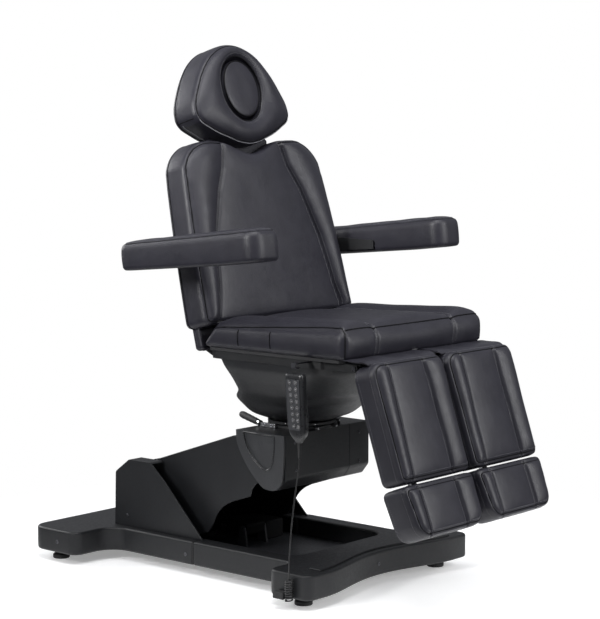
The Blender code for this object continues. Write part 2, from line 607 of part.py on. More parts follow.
def seat_structure(b):
    low = HEAD_TOP + GAP + 2 * PLATE_T + 0.0015 + GAP
    frame_top = FRAME_LOW + FRAME_T
    b.add("seat_column", prism(circle((0, 0), COLUMN_R, 24), low, FRAME_LOW - GAP, "Z"), "seat", "steel")
    outline = rounded([(-0.258, -0.298, 0.045), (0.258, -0.298, 0.045), (0.258, 0.092, 0.030),
                       (-0.258, 0.092, 0.030)], 3)
    frame = b.add("seat_frame", prism(outline, FRAME_LOW, frame_top, "Z"), "seat", "steel")
    for sign in (-1, 1):
        xs = sorted((sign * 0.070, sign * 0.215))
        hole = box((xs[0], -0.240, 0.5), (xs[1], 0.050, 0.7))
        boolean(frame, b.add(f"cut_frame_{sign}", hole, "seat", None, cutter=True))
    front = hull([(-0.270, FRAME_LOW), (-0.270, frame_top - 0.001)] + circle((LEG_PIVOT_Y, LEG_PIVOT_Z), 0.0095, 12))
    rear = hull([(0.088, FRAME_LOW), (0.088, frame_top - 0.001)] + circle((BACK_PIVOT.y, BACK_PIVOT.z), 0.010, 12))
    leg_pivot = Vector((0, LEG_PIVOT_Y, LEG_PIVOT_Z))
    ears = ([("front", front, x) for x in (-SEAT_EAR_X, 0.0, SEAT_EAR_X)]
            + [("rear", rear, x) for x in (-BACK_EAR_X, BACK_EAR_X)])
    for k, (tag, outline, x) in enumerate(ears):
        tab = prism(outline, x - 0.004, x + 0.004)
        boolean(frame, b.add(f"join_ear_{tag}_{k}", tab, "seat", None, cutter=True), "UNION")
    bore = cross_rod(leg_pivot, -0.3, 0.3, LEG_SHAFT_R + GAP, 12)
    boolean(frame, b.add("cut_leg_bore", bore, "seat", None, cutter=True))
    for sign in (-1, 1):
        xs = sorted((sign * BACK_EAR_X, sign * (STRAP_X + 0.006)))
        pin = cross_rod(BACK_PIVOT, *xs, PIN_R, 12)
        boolean(frame, b.add(f"join_back_pin_{sign}", pin, "seat", None, cutter=True), "UNION")
    b.add("leg_hinge_shaft", cross_rod(leg_pivot, -0.250, 0.250, LEG_SHAFT_R, 12), "seat", "chrome")
    board_low = SEAT_LOW - BOARD_T - GAP
    outline = rounded([(-0.262, -0.352, 0.03), (0.262, -0.352, 0.03), (0.262, 0.086, 0.01), (-0.262, 0.086, 0.01)], 3)
    b.add("seat_board", prism(outline, board_low, board_low + BOARD_T, "Z"), "seat", "wood")


def seat_cushion(b):
    profile = [(SEAT_FRONT_Y, SEAT_LOW), (SEAT_FRONT_Y, SEAT_EDGE), (SEAT_FRONT_Y + 0.05, SEAT_EDGE + 0.014),
               (-0.150, SEAT_EDGE + 0.012), (0.0, SEAT_EDGE + 0.002), (SEAT_REAR_TOP_Y, SEAT_EDGE - 0.014),
               (SEAT_REAR_Y, SEAT_LOW)]
    b.add("seat_cushion", prism(profile, -SEAT_HALF, SEAT_HALF), "seat", "leather", 0.010, 2)


def seat_actuators(b):
    """Back and leg motors lie inside the bowl, fixed to the frame."""
    for name, half, y0, y1 in (("back_actuator", 0.040, 0.052, 0.078), ("leg_actuator", 0.022, -0.250, -0.060)):
        body = box((-half, y0, 0.535), (half, y1, FRAME_LOW - GAP))
        b.add(name, body, "seat", "plastic", 0.004, 1)


def pendant(b):
    x, y = PENDANT_X, PENDANT_Y
    hook = [(-0.262, 0.5965), (-0.3185, 0.5965), (-0.3185, 0.5845), (-0.3160, 0.5820), (-0.3040, 0.5820),
            (-0.3040, 0.5860), (-0.3145, 0.5860), (-0.3145, 0.5925), (-0.262, 0.5925)]
    b.add("pendant_hook", prism(hook, y - 0.007, y + 0.007, "Y"), "seat", "chrome")

    def level(z, half, thick, cy):
        return super_ring(x - thick / 2, x + thick / 2, cy - half, cy + half, 4.5, z, 20)
    sections = [(PENDANT_TOP, 0.022, 0.014, 0.000), (PENDANT_TOP - 0.006, 0.0275, PENDANT_T, 0.000),
                (0.480, PENDANT_HALF, PENDANT_T, -0.005), (0.430, 0.0285, PENDANT_T, -0.009),
                (0.412, 0.022, PENDANT_T - 0.002, -0.010), (PENDANT_LOW, 0.010, 0.012, -0.011),
                (PENDANT_LOW - 0.002, 0.0055, 0.010, -0.012), (PENDANT_TIP, 0.0034, 0.0066, -0.0133)]
    rings = [level(z, half, thick, y + dy) for z, half, thick, dy in sections]
    b.add("pendant_body", loft(rings), "seat", "plastic")
    face = x - PENDANT_T / 2 - GAP
    pad = rounded([(y - 0.021, 0.557, 0.004), (y + 0.021, 0.557, 0.004), (y + 0.0115, 0.436, 0.006),
                   (y - 0.0265, 0.436, 0.006)], 2)
    b.add("pendant_keypad", prism(pad, face - 0.0012, face), "seat", "rubber")


# ---------------------------------------------------------------- backrest and headrest
def back_half_width(v):
    """Half width of the backrest along its height: widest at the foot, narrower to the shoulders."""
    k = (v - BACK_LOW) / (BACK_TOP - BACK_LOW)
    return 0.287 - 0.010 * k - 0.020 * k * k


def back_outline(inset=0.0):
    low, top = BACK_LOW + inset, BACK_TOP - inset
    heights = [low, 0.150, 0.250, 0.350, 0.415]
    left = [(back_half_width(v) - inset, v) for v in heights]
    shoulder = arc((0.190 - inset / 2, top - 0.085), 0.085, 28, 90, 5)
    shoulder = [(0.190 - inset / 2 + (x - 0.190 + inset / 2) * 0.92, v) for x, v in shoulder]
    dip = []
    for i in range(1, 6):
        s = 1 - i / 6
        dip.append((0.125 * s, top - BACK_DIP * (0.5 + 0.5 * math.cos(math.pi * s))))
    right = [(0.0, top - BACK_DIP)]
    half = left + shoulder + dip
    return half + right + mirror_x(half)


def lean_up():
    return on_slab(Vector((0, 0, 0)), BACK_LEAN, 0, 1, 0)


def post_line():
    """Point on the headrest's tilt axis, which is also the top of its posts."""
    return on_slab(HEADREST_FOOT, HEADREST_LEAN, 0, HEADREST_PIVOT_V, HEADREST_T + 0.028)


def backrest(b):
    foot, lean = BACK_FOOT, BACK_LEAN
    cushion = slab(back_outline(), foot, lean, 0.0, BACK_T)
    b.add("backrest_cushion", cushion, "backrest", "leather", 0.012, 2)
    board = slab(back_outline(0.022), foot, lean, BACK_T + GAP, BACK_T + 0.012)
    shell = b.add("backrest_board", board, "backrest", "plastic", 0.003, 1)
    upper = [(BACK_T + 0.0005, BACK_LOW + 0.060), (BACK_T + 0.0115, BACK_LOW + 0.060),
             (BACK_T + 0.0115, BACK_LOW - 0.022), (BACK_T + 0.0005, BACK_LOW - 0.010)]
    lower = [(BACK_T + 0.0005, BACK_LOW - 0.010), (BACK_T + 0.0115, BACK_LOW - 0.010),
             (BACK_T + 0.0115, BACK_LOW - 0.022)]
    upper, lower = ([on_slab(foot, lean, 0, v, t) for t, v in line] for line in (upper, lower))
    lower = hull([(p.y, p.z) for p in lower] + circle((BACK_PIVOT.y, BACK_PIVOT.z), 0.010, 12))
    for sign in (-1, 1):
        x = sign * STRAP_X
        for tag, outline in (("upper", [(p.y, p.z) for p in upper]), ("lower", lower)):
            arm = prism(outline, x - 0.004, x + 0.004)
            boolean(shell, b.add(f"join_{tag}_{sign}", arm, "backrest", None, cutter=True), "UNION")
    bore = cross_rod(BACK_PIVOT, -0.3, 0.3, PIN_R + RUN, 12)
    boolean(shell, b.add("cut_strap", bore, "backrest", None, cutter=True))
    post = post_line()
    for sign in (-1, 1):
        x = sign * POST_X
        block = [(x - 0.014, 0.395), (x + 0.014, 0.395), (x + 0.014, 0.460), (x - 0.014, 0.460)]
        guide = slab(block, foot, lean, BACK_T + 0.011, BACK_T + 0.056)
        boolean(shell, b.add(f"join_guide_{sign}", guide, "backrest", None, cutter=True), "UNION")
        low, high = (post + lean_up() * s + Vector((x, 0, 0)) for s in (-0.3, 0.05))
        boolean(shell, b.add(f"cut_guide_{sign}", rod(low, high, POST_R + RUN), "backrest", None, cutter=True))


HEADREST_HALF = [  # right-hand half of the headrest's outline, foot to crown: (x, v)
    (0.000, 0.000), (0.040, 0.005), (0.075, 0.017), (0.110, 0.029), (0.140, 0.044), (0.165, 0.058),
    (0.179, 0.076), (0.181, 0.095), (0.176, 0.120), (0.158, 0.155), (0.134, 0.192), (0.104, 0.227),
    (0.074, 0.250), (0.038, 0.266), (0.000, 0.2715)]


def headrest_outline(scale=1.0):
    middle = HEADREST_H * 0.45
    half = [(x * scale, middle + (v - middle) * scale) for x, v in HEADREST_HALF]
    return half + [(-x, v) for x, v in reversed(half[1:-1])]


def headrest(b):
    foot, lean = HEADREST_FOOT, HEADREST_LEAN
    pivot = post_line()
    b.add_body("headrest_slide", "backrest", pivot)
    b.add_body("headrest", "headrest_slide", pivot)

    centre_v = 0.148
    oval = [(PLUG_A * math.cos(2 * math.pi * i / 32), centre_v + PLUG_B * math.sin(2 * math.pi * i / 32))
            for i in range(32)]
    ring = [(x * 1.09, centre_v + (v - centre_v) * 1.07) for x, v in oval]
    cushion = slab(headrest_outline(), foot, lean, 0.0, HEADREST_T)
    pad = b.add("headrest_cushion", cushion, "headrest", "leather")
    hole = slab(ring, foot, lean, -0.02, 0.052)
    boolean(pad, b.add("cut_face_hole", hole, "headrest", None, cutter=True))
    b.add("headrest_plug", slab(oval, foot, lean, 0.002, 0.0515), "headrest", "leather")
    board = slab(headrest_outline(0.86), foot, lean, HEADREST_T + GAP, HEADREST_T + 0.010)
    plate = b.add("headrest_board", board, "headrest", "plastic")
    low = on_slab(foot, lean, 0, HEADREST_PIVOT_V, HEADREST_T + 0.008)
    ear = hull([(low.y, low.z - 0.016), (low.y, low.z + 0.016)] + circle((pivot.y, pivot.z), 0.010, 12))
    boolean(plate, b.add("join_ear", prism(ear, -0.020, 0.020), "headrest", None, cutter=True), "UNION")
    bore = cross_rod(pivot, -0.06, 0.06, PIN_R + RUN, 12)
    boolean(plate, b.add("cut_ear", bore, "headrest", None, cutter=True))

    up = lean_up()
    bar = cross_rod(pivot, -0.032 - POST_X, 0.032 + POST_X, PIN_R, 12)
    slide = b.add("headrest_posts", bar, "headrest_slide", "chrome")
    for sign in (-1, 1):
        top = Vector((sign * POST_X, pivot.y, pivot.z)) + up * 0.004
        post = rod(top, top - up * 0.250, POST_R)
        boolean(slide, b.add(f"join_post_{sign}", post, "headrest_slide", None, cutter=True), "UNION")


# ---------------------------------------------------------------- armrests
def armrests(b):
    for tag in ("right", "left"):
        sign = side(tag)
        pivot = Vector((sign * 0.300, ARM_PIVOT_Y, ARM_PIVOT_Z))
        b.add_body("armrest_bracket_" + tag, "backrest", pivot)
        b.add_body("armrest_" + tag, "armrest_bracket_" + tag, pivot)
        x0, x1 = sorted((sign * ARM_X0, sign * ARM_X1))
        mid_z = ARM_PIVOT_Z - 0.004

        low, high = mid_z - ARM_T / 2, mid_z + ARM_T / 2
        tip = rounded([(x0, ARM_FRONT_Y, 0.030), (x1, ARM_FRONT_Y, 0.030), (x1, ARM_REAR_Y, 0.020),
                       (x0, ARM_REAR_Y, 0.020)], 4)
        pad = prism(tip, low, high, "Z")
        hinge = Matrix.Translation(pivot)
        turn = hinge @ Matrix.Rotation(-ARM_RISE, 4, "X") @ hinge.inverted()
        bmesh.ops.transform(pad, matrix=turn, verts=pad.verts)
        b.add("armrest_pad_" + tag, pad, "armrest_" + tag, "leather", 0.012, 2)

        a, c = sorted((sign * (ARM_X0 - 0.0095), sign * (ARM_X0 - 0.0035)))
        strip = rounded([(ARM_PIVOT_Y + 0.022, mid_z + 0.020, 0.015), (ARM_PIVOT_Y + 0.022, mid_z - 0.020, 0.015),
                         (ARM_PIVOT_Y - 0.150, mid_z - 0.008, 0.006), (ARM_PIVOT_Y - 0.150, mid_z + 0.016, 0.006)], 3)
        plate = prism(strip, a, c)
        arm = b.add("armrest_bracket_" + tag, plate, "armrest_bracket_" + tag, "steel")
        a, c = sorted((sign * 0.2812, sign * (ARM_X0 - 0.0060)))
        boss = cross_rod(pivot, a, c, 0.018, 20)
        boolean(arm, b.add("join_boss_" + tag, boss, "armrest_bracket_" + tag, None, cutter=True), "UNION")


# ---------------------------------------------------------------- leg rests
def leg_outline(x0, x1, length, top_r, low_r, taper):
    corners = [(x0, 0.0, top_r), (x1, 0.0, top_r), (x1 - taper, -length, low_r), (x0 + taper, -length, low_r)]
    return rounded(corners, 4)


def leg_rests(b):
    for tag in ("right", "left"):
        sign = side(tag)
        x0, x1 = sorted((sign * LEG_X0, sign * LEG_X1))
        leg, slide, foot = "leg_" + tag, "foot_slide_" + tag, "foot_" + tag
        pivot = Vector((sign * 0.144, LEG_PIVOT_Y, LEG_PIVOT_Z))
        ankle = on_slab(FOOT_TOP, FOOT_LEAN, sign * 0.144, 0.004, FOOT_T + 0.012)
        b.add_body(leg, "seat", pivot)
        b.add_body(slide, leg, ankle)
        b.add_body(foot, slide, ankle)

        pad = slab(leg_outline(x0, x1, LEG_LEN, 0.030, 0.016, 0.004), LEG_TOP, LEG_LEAN, 0.0, LEG_T)
        b.add("leg_pad_" + tag, pad, leg, "leather", 0.009, 2)

        middle = sign * 0.144
        plate = [(middle - 0.085, 0.002), (middle + 0.085, 0.002), (middle + 0.085, -0.260), (middle - 0.085, -0.260)]
        frame = b.add("leg_frame_" + tag, slab(plate, LEG_TOP, LEG_LEAN, LEG_T + GAP, LEG_T + 0.006), leg, "steel")
        here = on_slab(LEG_TOP, LEG_LEAN, 0, -0.020, LEG_T + 0.003)
        there = on_slab(LEG_TOP, LEG_LEAN, 0, -0.075, LEG_T + 0.005)
        ear = hull([(here.y, here.z), (there.y, there.z)] + circle((pivot.y, pivot.z), 0.011, 12))
        for k, x in enumerate((middle - 0.062, middle + 0.062)):
            boolean(frame, b.add(f"join_leg_{tag}_{k}", prism(ear, x - 0.006, x + 0.006), leg, None, cutter=True),
                    "UNION")
        bore = cross_rod(pivot, middle - 0.1, middle + 0.1, LEG_SHAFT_R + RUN, 12)
        boolean(frame, b.add("cut_leg_" + tag, bore, leg, None, cutter=True))

        bar = [(middle - 0.030, -0.130), (middle + 0.030, -0.130), (middle + 0.030, -0.283), (middle - 0.030, -0.283)]
        rail = b.add("foot_slide_" + tag, slab(bar, LEG_TOP, LEG_LEAN, LEG_T + 0.0065, LEG_T + 0.0125), slide, "chrome")
        here = on_slab(LEG_TOP, LEG_LEAN, 0, -0.270, LEG_T + 0.0065)
        there = on_slab(LEG_TOP, LEG_LEAN, 0, -0.270, LEG_T + 0.0125)
        lug = hull([(here.y, here.z), (there.y, there.z)] + circle((ankle.y, ankle.z), 0.0065, 10))
        boolean(rail, b.add("join_lug_" + tag, prism(lug, middle - 0.010, middle + 0.010), slide, None, cutter=True),
                "UNION")
        bore = cross_rod(ankle, middle - 0.05, middle + 0.05, 0.0034, 10)
        boolean(rail, b.add("cut_lug_" + tag, bore, slide, None, cutter=True))

        pad = slab(leg_outline(x0 + 0.002, x1 - 0.002, FOOT_LEN, 0.014, 0.038, 0.010), FOOT_TOP, FOOT_LEAN,
                   0.0, FOOT_T)
        b.add("foot_pad_" + tag, pad, foot, "leather", 0.010, 2)
        plate = [(middle - 0.090, -0.012), (middle + 0.090, -0.012), (middle + 0.090, -0.095),
                 (middle - 0.090, -0.095)]
        bed = b.add("foot_frame_" + tag, slab(plate, FOOT_TOP, FOOT_LEAN, FOOT_T + GAP, FOOT_T + 0.005), foot,
                    "steel")
        here = on_slab(FOOT_TOP, FOOT_LEAN, 0, -0.014, FOOT_T + 0.003)
        there = on_slab(FOOT_TOP, FOOT_LEAN, 0, -0.034, FOOT_T + 0.004)
        ear = hull([(here.y, here.z), (there.y, there.z)] + circle((ankle.y, ankle.z), 0.0065, 10))
        for k, x in enumerate((middle - 0.016, middle + 0.016)):
            boolean(bed, b.add(f"join_ankle_{tag}_{k}", prism(ear, x - 0.004, x + 0.004), foot, None, cutter=True),
                    "UNION")
        bore = cross_rod(ankle, middle - 0.05, middle + 0.05, 0.0034, 10)
        boolean(bed, b.add("cut_ankle_" + tag, bore, foot, None, cutter=True))


# ---------------------------------------------------------------- hand control lead
def smooth_route(points, count):
    """Catmull-Rom curve through the route's own points."""
    pts = [Vector(p) for p in points]
    pts = [2 * pts[0] - pts[1]] + pts + [2 * pts[-1] - pts[-2]]
    spans = len(pts) - 3
    out = []
    for i in range(count + 1):
        s = i / count * spans
        k = min(int(s), spans - 1)
        t = s - k
        p0, p1, p2, p3 = pts[k:k + 4]
        out.append(0.5 * (2 * p1 + (p2 - p0) * t + (2 * p0 - 5 * p1 + 4 * p2 - p3) * t * t
                          + (3 * p1 - p0 - 3 * p2 + p3) * t ** 3))
    return out


def pendant_cord(b):
    coil = prism(circle((COIL_X, COIL_Y), COIL_R, 16), COIL_LOW, COIL_TOP, "Z")
    b.add("pendant_cord_coil", coil, "base", "rubber")
    curve = bpy.data.curves.new("pendant_cord_lead", "CURVE")
    curve.dimensions = "3D"
    curve.bevel_depth = CORD_D / 2
    curve.bevel_resolution = 2
    curve.use_fill_caps = True
    points = smooth_route(CORD_ROUTE, 36)
    spline = curve.splines.new("POLY")
    spline.points.add(len(points) - 1)
    holder, pivot = b.pivots["seat"]
    for spot, point in zip(spline.points, points):
        spot.co = (*(point - pivot), 1.0)
    obj = bpy.data.objects.new("pendant_cord_lead", curve)
    obj.parent = holder
    curve.materials.append(b.materials["rubber"])
    bpy.context.scene.collection.objects.link(obj)


def main():
    for obj in list(bpy.data.objects):
        bpy.data.objects.remove(obj)
    b = Builder()
    for build in (base_frames, levelling_feet, rear_housing, lift_bracket, base_electrics, lift_arm, arm_cover,
                  tension_link, lift_actuator, head, turntable, lock_lever, under_seat_cover, seat_structure,
                  seat_cushion, seat_actuators, pendant, backrest, headrest, armrests, leg_rests, pendant_cord):
        build(b)


main()
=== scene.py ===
"""Electric treatment chair: leather cushions, moulded covers, trim, materials, light and camera."""
import json
import math

import bmesh
import bpy
import numpy as np
from mathutils import Matrix, Vector
from mathutils.bvhtree import BVHTree
from mathutils.kdtree import KDTree

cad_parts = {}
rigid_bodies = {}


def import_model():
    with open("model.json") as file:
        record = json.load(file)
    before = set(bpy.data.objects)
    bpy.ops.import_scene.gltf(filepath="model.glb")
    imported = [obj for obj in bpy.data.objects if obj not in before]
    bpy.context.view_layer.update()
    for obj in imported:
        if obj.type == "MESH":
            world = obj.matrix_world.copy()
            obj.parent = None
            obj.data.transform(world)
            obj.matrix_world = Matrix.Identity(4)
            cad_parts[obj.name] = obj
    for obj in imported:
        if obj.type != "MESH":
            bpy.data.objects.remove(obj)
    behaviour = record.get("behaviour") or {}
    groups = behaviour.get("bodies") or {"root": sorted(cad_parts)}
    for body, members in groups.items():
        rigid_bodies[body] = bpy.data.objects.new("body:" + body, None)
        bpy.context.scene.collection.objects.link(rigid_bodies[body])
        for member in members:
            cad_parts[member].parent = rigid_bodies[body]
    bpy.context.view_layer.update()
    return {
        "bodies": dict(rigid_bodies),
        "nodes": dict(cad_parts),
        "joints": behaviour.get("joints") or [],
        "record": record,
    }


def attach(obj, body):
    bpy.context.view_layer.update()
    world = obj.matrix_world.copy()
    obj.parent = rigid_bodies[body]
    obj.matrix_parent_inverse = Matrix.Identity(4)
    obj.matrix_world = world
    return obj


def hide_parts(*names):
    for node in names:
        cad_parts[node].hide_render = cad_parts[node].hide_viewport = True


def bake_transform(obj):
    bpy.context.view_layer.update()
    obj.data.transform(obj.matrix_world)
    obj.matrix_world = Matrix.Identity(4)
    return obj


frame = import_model()
NODES = frame["nodes"]

SHIFT = Vector((0, -0.0305, 0))      # places below are from the swivel axis; this puts them in the row frame
UP = Vector((0, 0, 1))
SIDES = (("right", -1), ("left", 1))


def linked(name, data):
    """New object in the scene, holding the data."""
    obj = bpy.data.objects.new(name, data)
    bpy.context.scene.collection.objects.link(obj)
    return obj


def angles(count):
    """Equal steps once round a circle."""
    return [2 * math.pi * k / count for k in range(count)]


# ------------------------------------------------------------------ materials
def tree_of(name):
    mat = bpy.data.materials.new(name)
    mat.use_nodes = True
    tree = mat.node_tree
    return mat, tree, tree.nodes["Principled BSDF"]


def node(tree, kind, inputs=None, **settings):
    """New node; each input takes a value or a link from another node's socket."""
    new = tree.nodes.new("ShaderNode" + kind)
    for key, value in settings.items():
        setattr(new, key, value)
    for socket, value in (inputs or {}).items():
        if isinstance(value, bpy.types.NodeSocket):
            tree.links.new(value, new.inputs[socket])
        else:
            new.inputs[socket].default_value = value
    return new


def noise(tree, scale, detail, rough, coords):
    inputs = {"Scale": scale, "Detail": detail, "Roughness": rough, "Vector": coords}
    return node(tree, "TexNoise", inputs).outputs["Fac"]


def spread(tree, value, low, high, source=(0.3, 0.7)):
    """The value's source range stretched over low to high."""
    inputs = {"Value": value, "From Min": source[0], "From Max": source[1], "To Min": low, "To Max": high}
    return node(tree, "MapRange", inputs).outputs["Result"]


def mixed(tree, factor, a, b):
    return node(tree, "Mix", {0: factor, 6: (*a, 1), 7: (*b, 1)}, data_type="RGBA").outputs[2]


def bumped(tree, shader, heights):
    """Stack of (height, strength, distance) bumps into the shader's normal."""
    below = {}
    for height, strength, distance in heights:
        bump = node(tree, "Bump", {"Strength": strength, "Distance": distance, "Height": height, **below})
        below = {"Normal": bump.outputs["Normal"]}
    tree.links.new(below["Normal"], shader.inputs["Normal"])


def object_coords(tree):
    return node(tree, "TexCoord").outputs["Object"]


def leather(name, dark, light, rough=(0.40, 0.50), sheen=0.34):
    mat, tree, shader = tree_of(name)
    at = object_coords(tree)
    warp = node(tree, "TexNoise", {"Scale": 240, "Vector": at})
    wobble = node(tree, "VectorMath", {0: warp.outputs["Color"], 1: (0.0016, 0.0016, 0.0016), 2: at},
                  operation="MULTIPLY_ADD")
    cells = node(tree, "TexVoronoi", {"Scale": 620, "Vector": wobble.outputs[0]}, feature="DISTANCE_TO_EDGE")
    grain = spread(tree, cells.outputs["Distance"], 0.0, 1.0, (0.0, 0.16))
    soft = noise(tree, 26, 3, 0.55, at)
    fine = noise(tree, 1500, 2, 0.6, at)
    tree.links.new(mixed(tree, spread(tree, soft, 0, 1), dark, light), shader.inputs["Base Color"])
    tree.links.new(spread(tree, noise(tree, 60, 4, 0.6, at), *rough), shader.inputs["Roughness"])
    bumped(tree, shader, [(soft, 0.20, 0.004), (grain, 0.20, 0.0003), (fine, 0.10, 0.0002)])
    shader.inputs["Specular IOR Level"].default_value = sheen
    return mat


def moulded(name, dark, light, rough=(0.42, 0.54), grain=0.20, sheen=0.45):
    mat, tree, shader = tree_of(name)
    at = object_coords(tree)
    tree.links.new(mixed(tree, spread(tree, noise(tree, 18, 3, 0.5, at), 0, 1), dark, light),
                   shader.inputs["Base Color"])
    tree.links.new(spread(tree, noise(tree, 130, 3, 0.6, at), *rough), shader.inputs["Roughness"])
    bumped(tree, shader, [(noise(tree, 1900, 1, 0.5, at), grain, 0.00025),
                          (noise(tree, 700, 2, 0.5, at), 0.10, 0.0004)])
    shader.inputs["Specular IOR Level"].default_value = sheen
    return mat


def metal(name, colour, rough):
    mat, tree, shader = tree_of(name)
    at = object_coords(tree)
    shader.inputs["Base Color"].default_value = (*colour, 1)
    shader.inputs["Metallic"].default_value = 1.0
    wear = spread(tree, noise(tree, 90, 4, 0.6, at), rough * 0.8, rough * 1.25)
    tree.links.new(wear, shader.inputs["Roughness"])
    bumped(tree, shader, [(noise(tree, 500, 2, 0.5, at), 0.02, 0.0003)])
    return mat


M = {
    "leather": leather("leather", (0.0110, 0.0106, 0.0155), (0.0150, 0.0145, 0.0205)),
    # welts in near-black, dull leather: painted shade of the seam grooves beside them, drawn as dark lines on the
    # welts
    "piping": leather("piping", (0.0025, 0.0025, 0.0032), (0.0038, 0.0038, 0.0048), (0.55, 0.65), 0.10),
    "plastic": moulded("plastic", (0.0050, 0.0054, 0.0066), (0.0068, 0.0073, 0.0088), sheen=0.36),
    # lighter, shinier copy of the plastic for the head's near cheek: painted light where the cheek faces the light
    "panel": moulded("painted_light_plastic", (0.0110, 0.0118, 0.0138), (0.0150, 0.0160, 0.0185), sheen=0.60),
    "tray": moulded("tray_plastic", (0.0210, 0.0220, 0.0250), (0.0280, 0.0290, 0.0330), (0.40, 0.50)),
    "rubber": moulded("rubber", (0.0075, 0.0075, 0.0080), (0.0105, 0.0105, 0.0110), (0.62, 0.75)),
    "cord": moulded("cord_sheath", (0.0080, 0.0080, 0.0086), (0.0110, 0.0110, 0.0118), (0.38, 0.48), 0.06),
    "gloss": moulded("handset_plastic", (0.0105, 0.0108, 0.0120), (0.0130, 0.0134, 0.0148), (0.26, 0.34), 0.05),
    "coat": moulded("powder_coat", (0.0060, 0.0063, 0.0072), (0.0085, 0.0088, 0.0098), (0.40, 0.52), 0.30),
    # near-black plastic for the parts inside the housing and arm: painted shade, darker than their own plastic
    "shade": moulded("painted_shade_plastic", (0.0022, 0.0023, 0.0027), (0.0032, 0.0034, 0.0038), (0.60, 0.72),
                     0.20, 0.15),
    "chrome": metal("chrome", (0.90, 0.90, 0.92), 0.12),
    "bolt": metal("bolt_zinc", (0.11, 0.11, 0.12), 0.34),
    "thread": moulded("thread", (0.066, 0.066, 0.076), (0.096, 0.096, 0.108), (0.55, 0.65), 0.0),
    # pale lines: painted highlight along the headrest's lower borders
    "pale": moulded("painted_highlight_line", (0.130, 0.130, 0.142), (0.180, 0.180, 0.196), (0.55, 0.65), 0.0),
    "print": moulded("icon_print", (0.26, 0.26, 0.27), (0.32, 0.32, 0.33), (0.45, 0.55), 0.0),
    "board": moulded("back_lining", (0.0120, 0.0120, 0.0135), (0.0160, 0.0160, 0.0175), (0.58, 0.70), 0.35),
}


# ------------------------------------------------------------------ building blocks
def finished(mesh, mat, smooth):
    mesh.materials.clear()
    mesh.materials.append(M[mat])
    mesh.shade_smooth()
    if smooth:
        mesh.set_sharp_from_angle(angle=math.radians(smooth))


def made(name, mesh, mat, body, replaces=(), smooth=None):
    """New piece from a mesh in chair places, shifted into the row frame and riding on its body."""
    mesh.transform(Matrix.Translation(SHIFT))
    obj = linked(name, mesh)
    finished(mesh, mat, smooth)
    if body:
        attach(obj, body)
    if replaces:
        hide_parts(*replaces)
    return obj


def mesh_from(bm, name):
    bmesh.ops.recalc_face_normals(bm, faces=bm.faces)
    mesh = bpy.data.meshes.new(name)
    bm.to_mesh(mesh)
    bm.free()
    return mesh


def mesh_points(mesh):
    points = np.empty(len(mesh.vertices) * 3)
    mesh.vertices.foreach_get("co", points)
    return points.reshape(-1, 3)


def bevelled(obj, width, segments, angle):
    mod = obj.modifiers.new("Bevel", "BEVEL")
    mod.width = width
    mod.segments = segments
    mod.limit_method = "ANGLE"
    mod.angle_limit = math.radians(angle)
    mod.harden_normals = True


def solid(name, bm, mat, body, replaces=(), bevel=0.0, segments=3, smooth=40):
    obj = made(name, mesh_from(bm, name), mat, body, replaces, smooth)
    if bevel:
        bevelled(obj, bevel, segments, 35)
    return obj


def evaluated(obj):
    """Mesh of an object with its modifiers applied, in the object's own coordinates."""
    bpy.context.view_layer.update()
    graph = bpy.context.evaluated_depsgraph_get()
    return bpy.data.meshes.new_from_object(obj.evaluated_get(graph))


def remeshed(mesh, voxel):
    """The mesh drawn again in even faces of the voxel's size."""
    obj = linked("remesh", mesh)
    mod = obj.modifiers.new("Remesh", "REMESH")
    mod.mode = "VOXEL"
    mod.voxel_size = voxel
    mod.adaptivity = 0.0
    out = evaluated(obj)
    bpy.data.objects.remove(obj)
    return out


def arc(centre, radius, start, end, steps):
    return [(centre[0] + radius * math.cos(math.radians(start + (end - start) * i / steps)),
             centre[1] + radius * math.sin(math.radians(start + (end - start) * i / steps)))
            for i in range(steps + 1)]


def rounded(corners, steps=8):
    """Outline through (a, b, radius) corners; a corner with radius 0 stays sharp."""
    points = []
    count = len(corners)
    for i, (a, b, radius) in enumerate(corners):
        here = Vector((a, b))
        if radius == 0:
            points.append((a, b))
            continue
        before = (Vector(corners[i - 1][:2]) - here).normalized()
        after = (Vector(corners[(i + 1) % count][:2]) - here).normalized()
        half = before.angle(after) / 2
        reach = radius / math.tan(half)
        centre = here + (before + after).normalized() * (radius / math.sin(half))
        first, last = here + before * reach - centre, here + after * reach - centre
        sweep = first.angle_signed(last)
        for k in range(steps + 1):
            spot = centre + Matrix.Rotation(-sweep * k / steps, 2) @ first
            points.append((spot.x, spot.y))
    return points


AXES = {"X": (1, 2, 0), "Y": (0, 2, 1), "Z": (0, 1, 2)}


def prism(outline, low, high, axis="X", bm=None):
    bm = bm or bmesh.new()
    ia, ib, ic = AXES[axis]
    rings = []
    for level in (low, high):
        ring = []
        for a, b in outline:
            co = [0.0, 0.0, 0.0]
            co[ia], co[ib], co[ic] = a, b, level
            ring.append(bm.verts.new(co))
        rings.append(ring)
    count = len(outline)
    for i in range(count):
        j = (i + 1) % count
        bm.faces.new((rings[0][i], rings[0][j], rings[1][j], rings[1][i]))
    bm.faces.new(rings[0])
    bm.faces.new(list(reversed(rings[1])))
    return bm


def box(low, high, bm=None):
    outline = [(low[0], low[1]), (high[0], low[1]), (high[0], high[1]), (low[0], high[1])]
    return prism(outline, low[2], high[2], "Z", bm)


def circle(centre, radius, count):
    return arc(centre, radius, 0, 360 - 360 / count, count - 1)


def loft(rings, ring_shaped=False, bm=None):
    bm = bm or bmesh.new()
    rows = [[bm.verts.new(p) for p in ring] for ring in rings]
    count = len(rows[0])
    pairs = list(zip(rows, rows[1:]))
    if ring_shaped:
        pairs.append((rows[-1], rows[0]))
    for low, high in pairs:
        for i in range(count):
            j = (i + 1) % count
            bm.faces.new((low[i], low[j], high[j], high[i]))
    if not ring_shaped:
        bm.faces.new(rows[0])
        bm.faces.new(list(reversed(rows[-1])))
    return bm


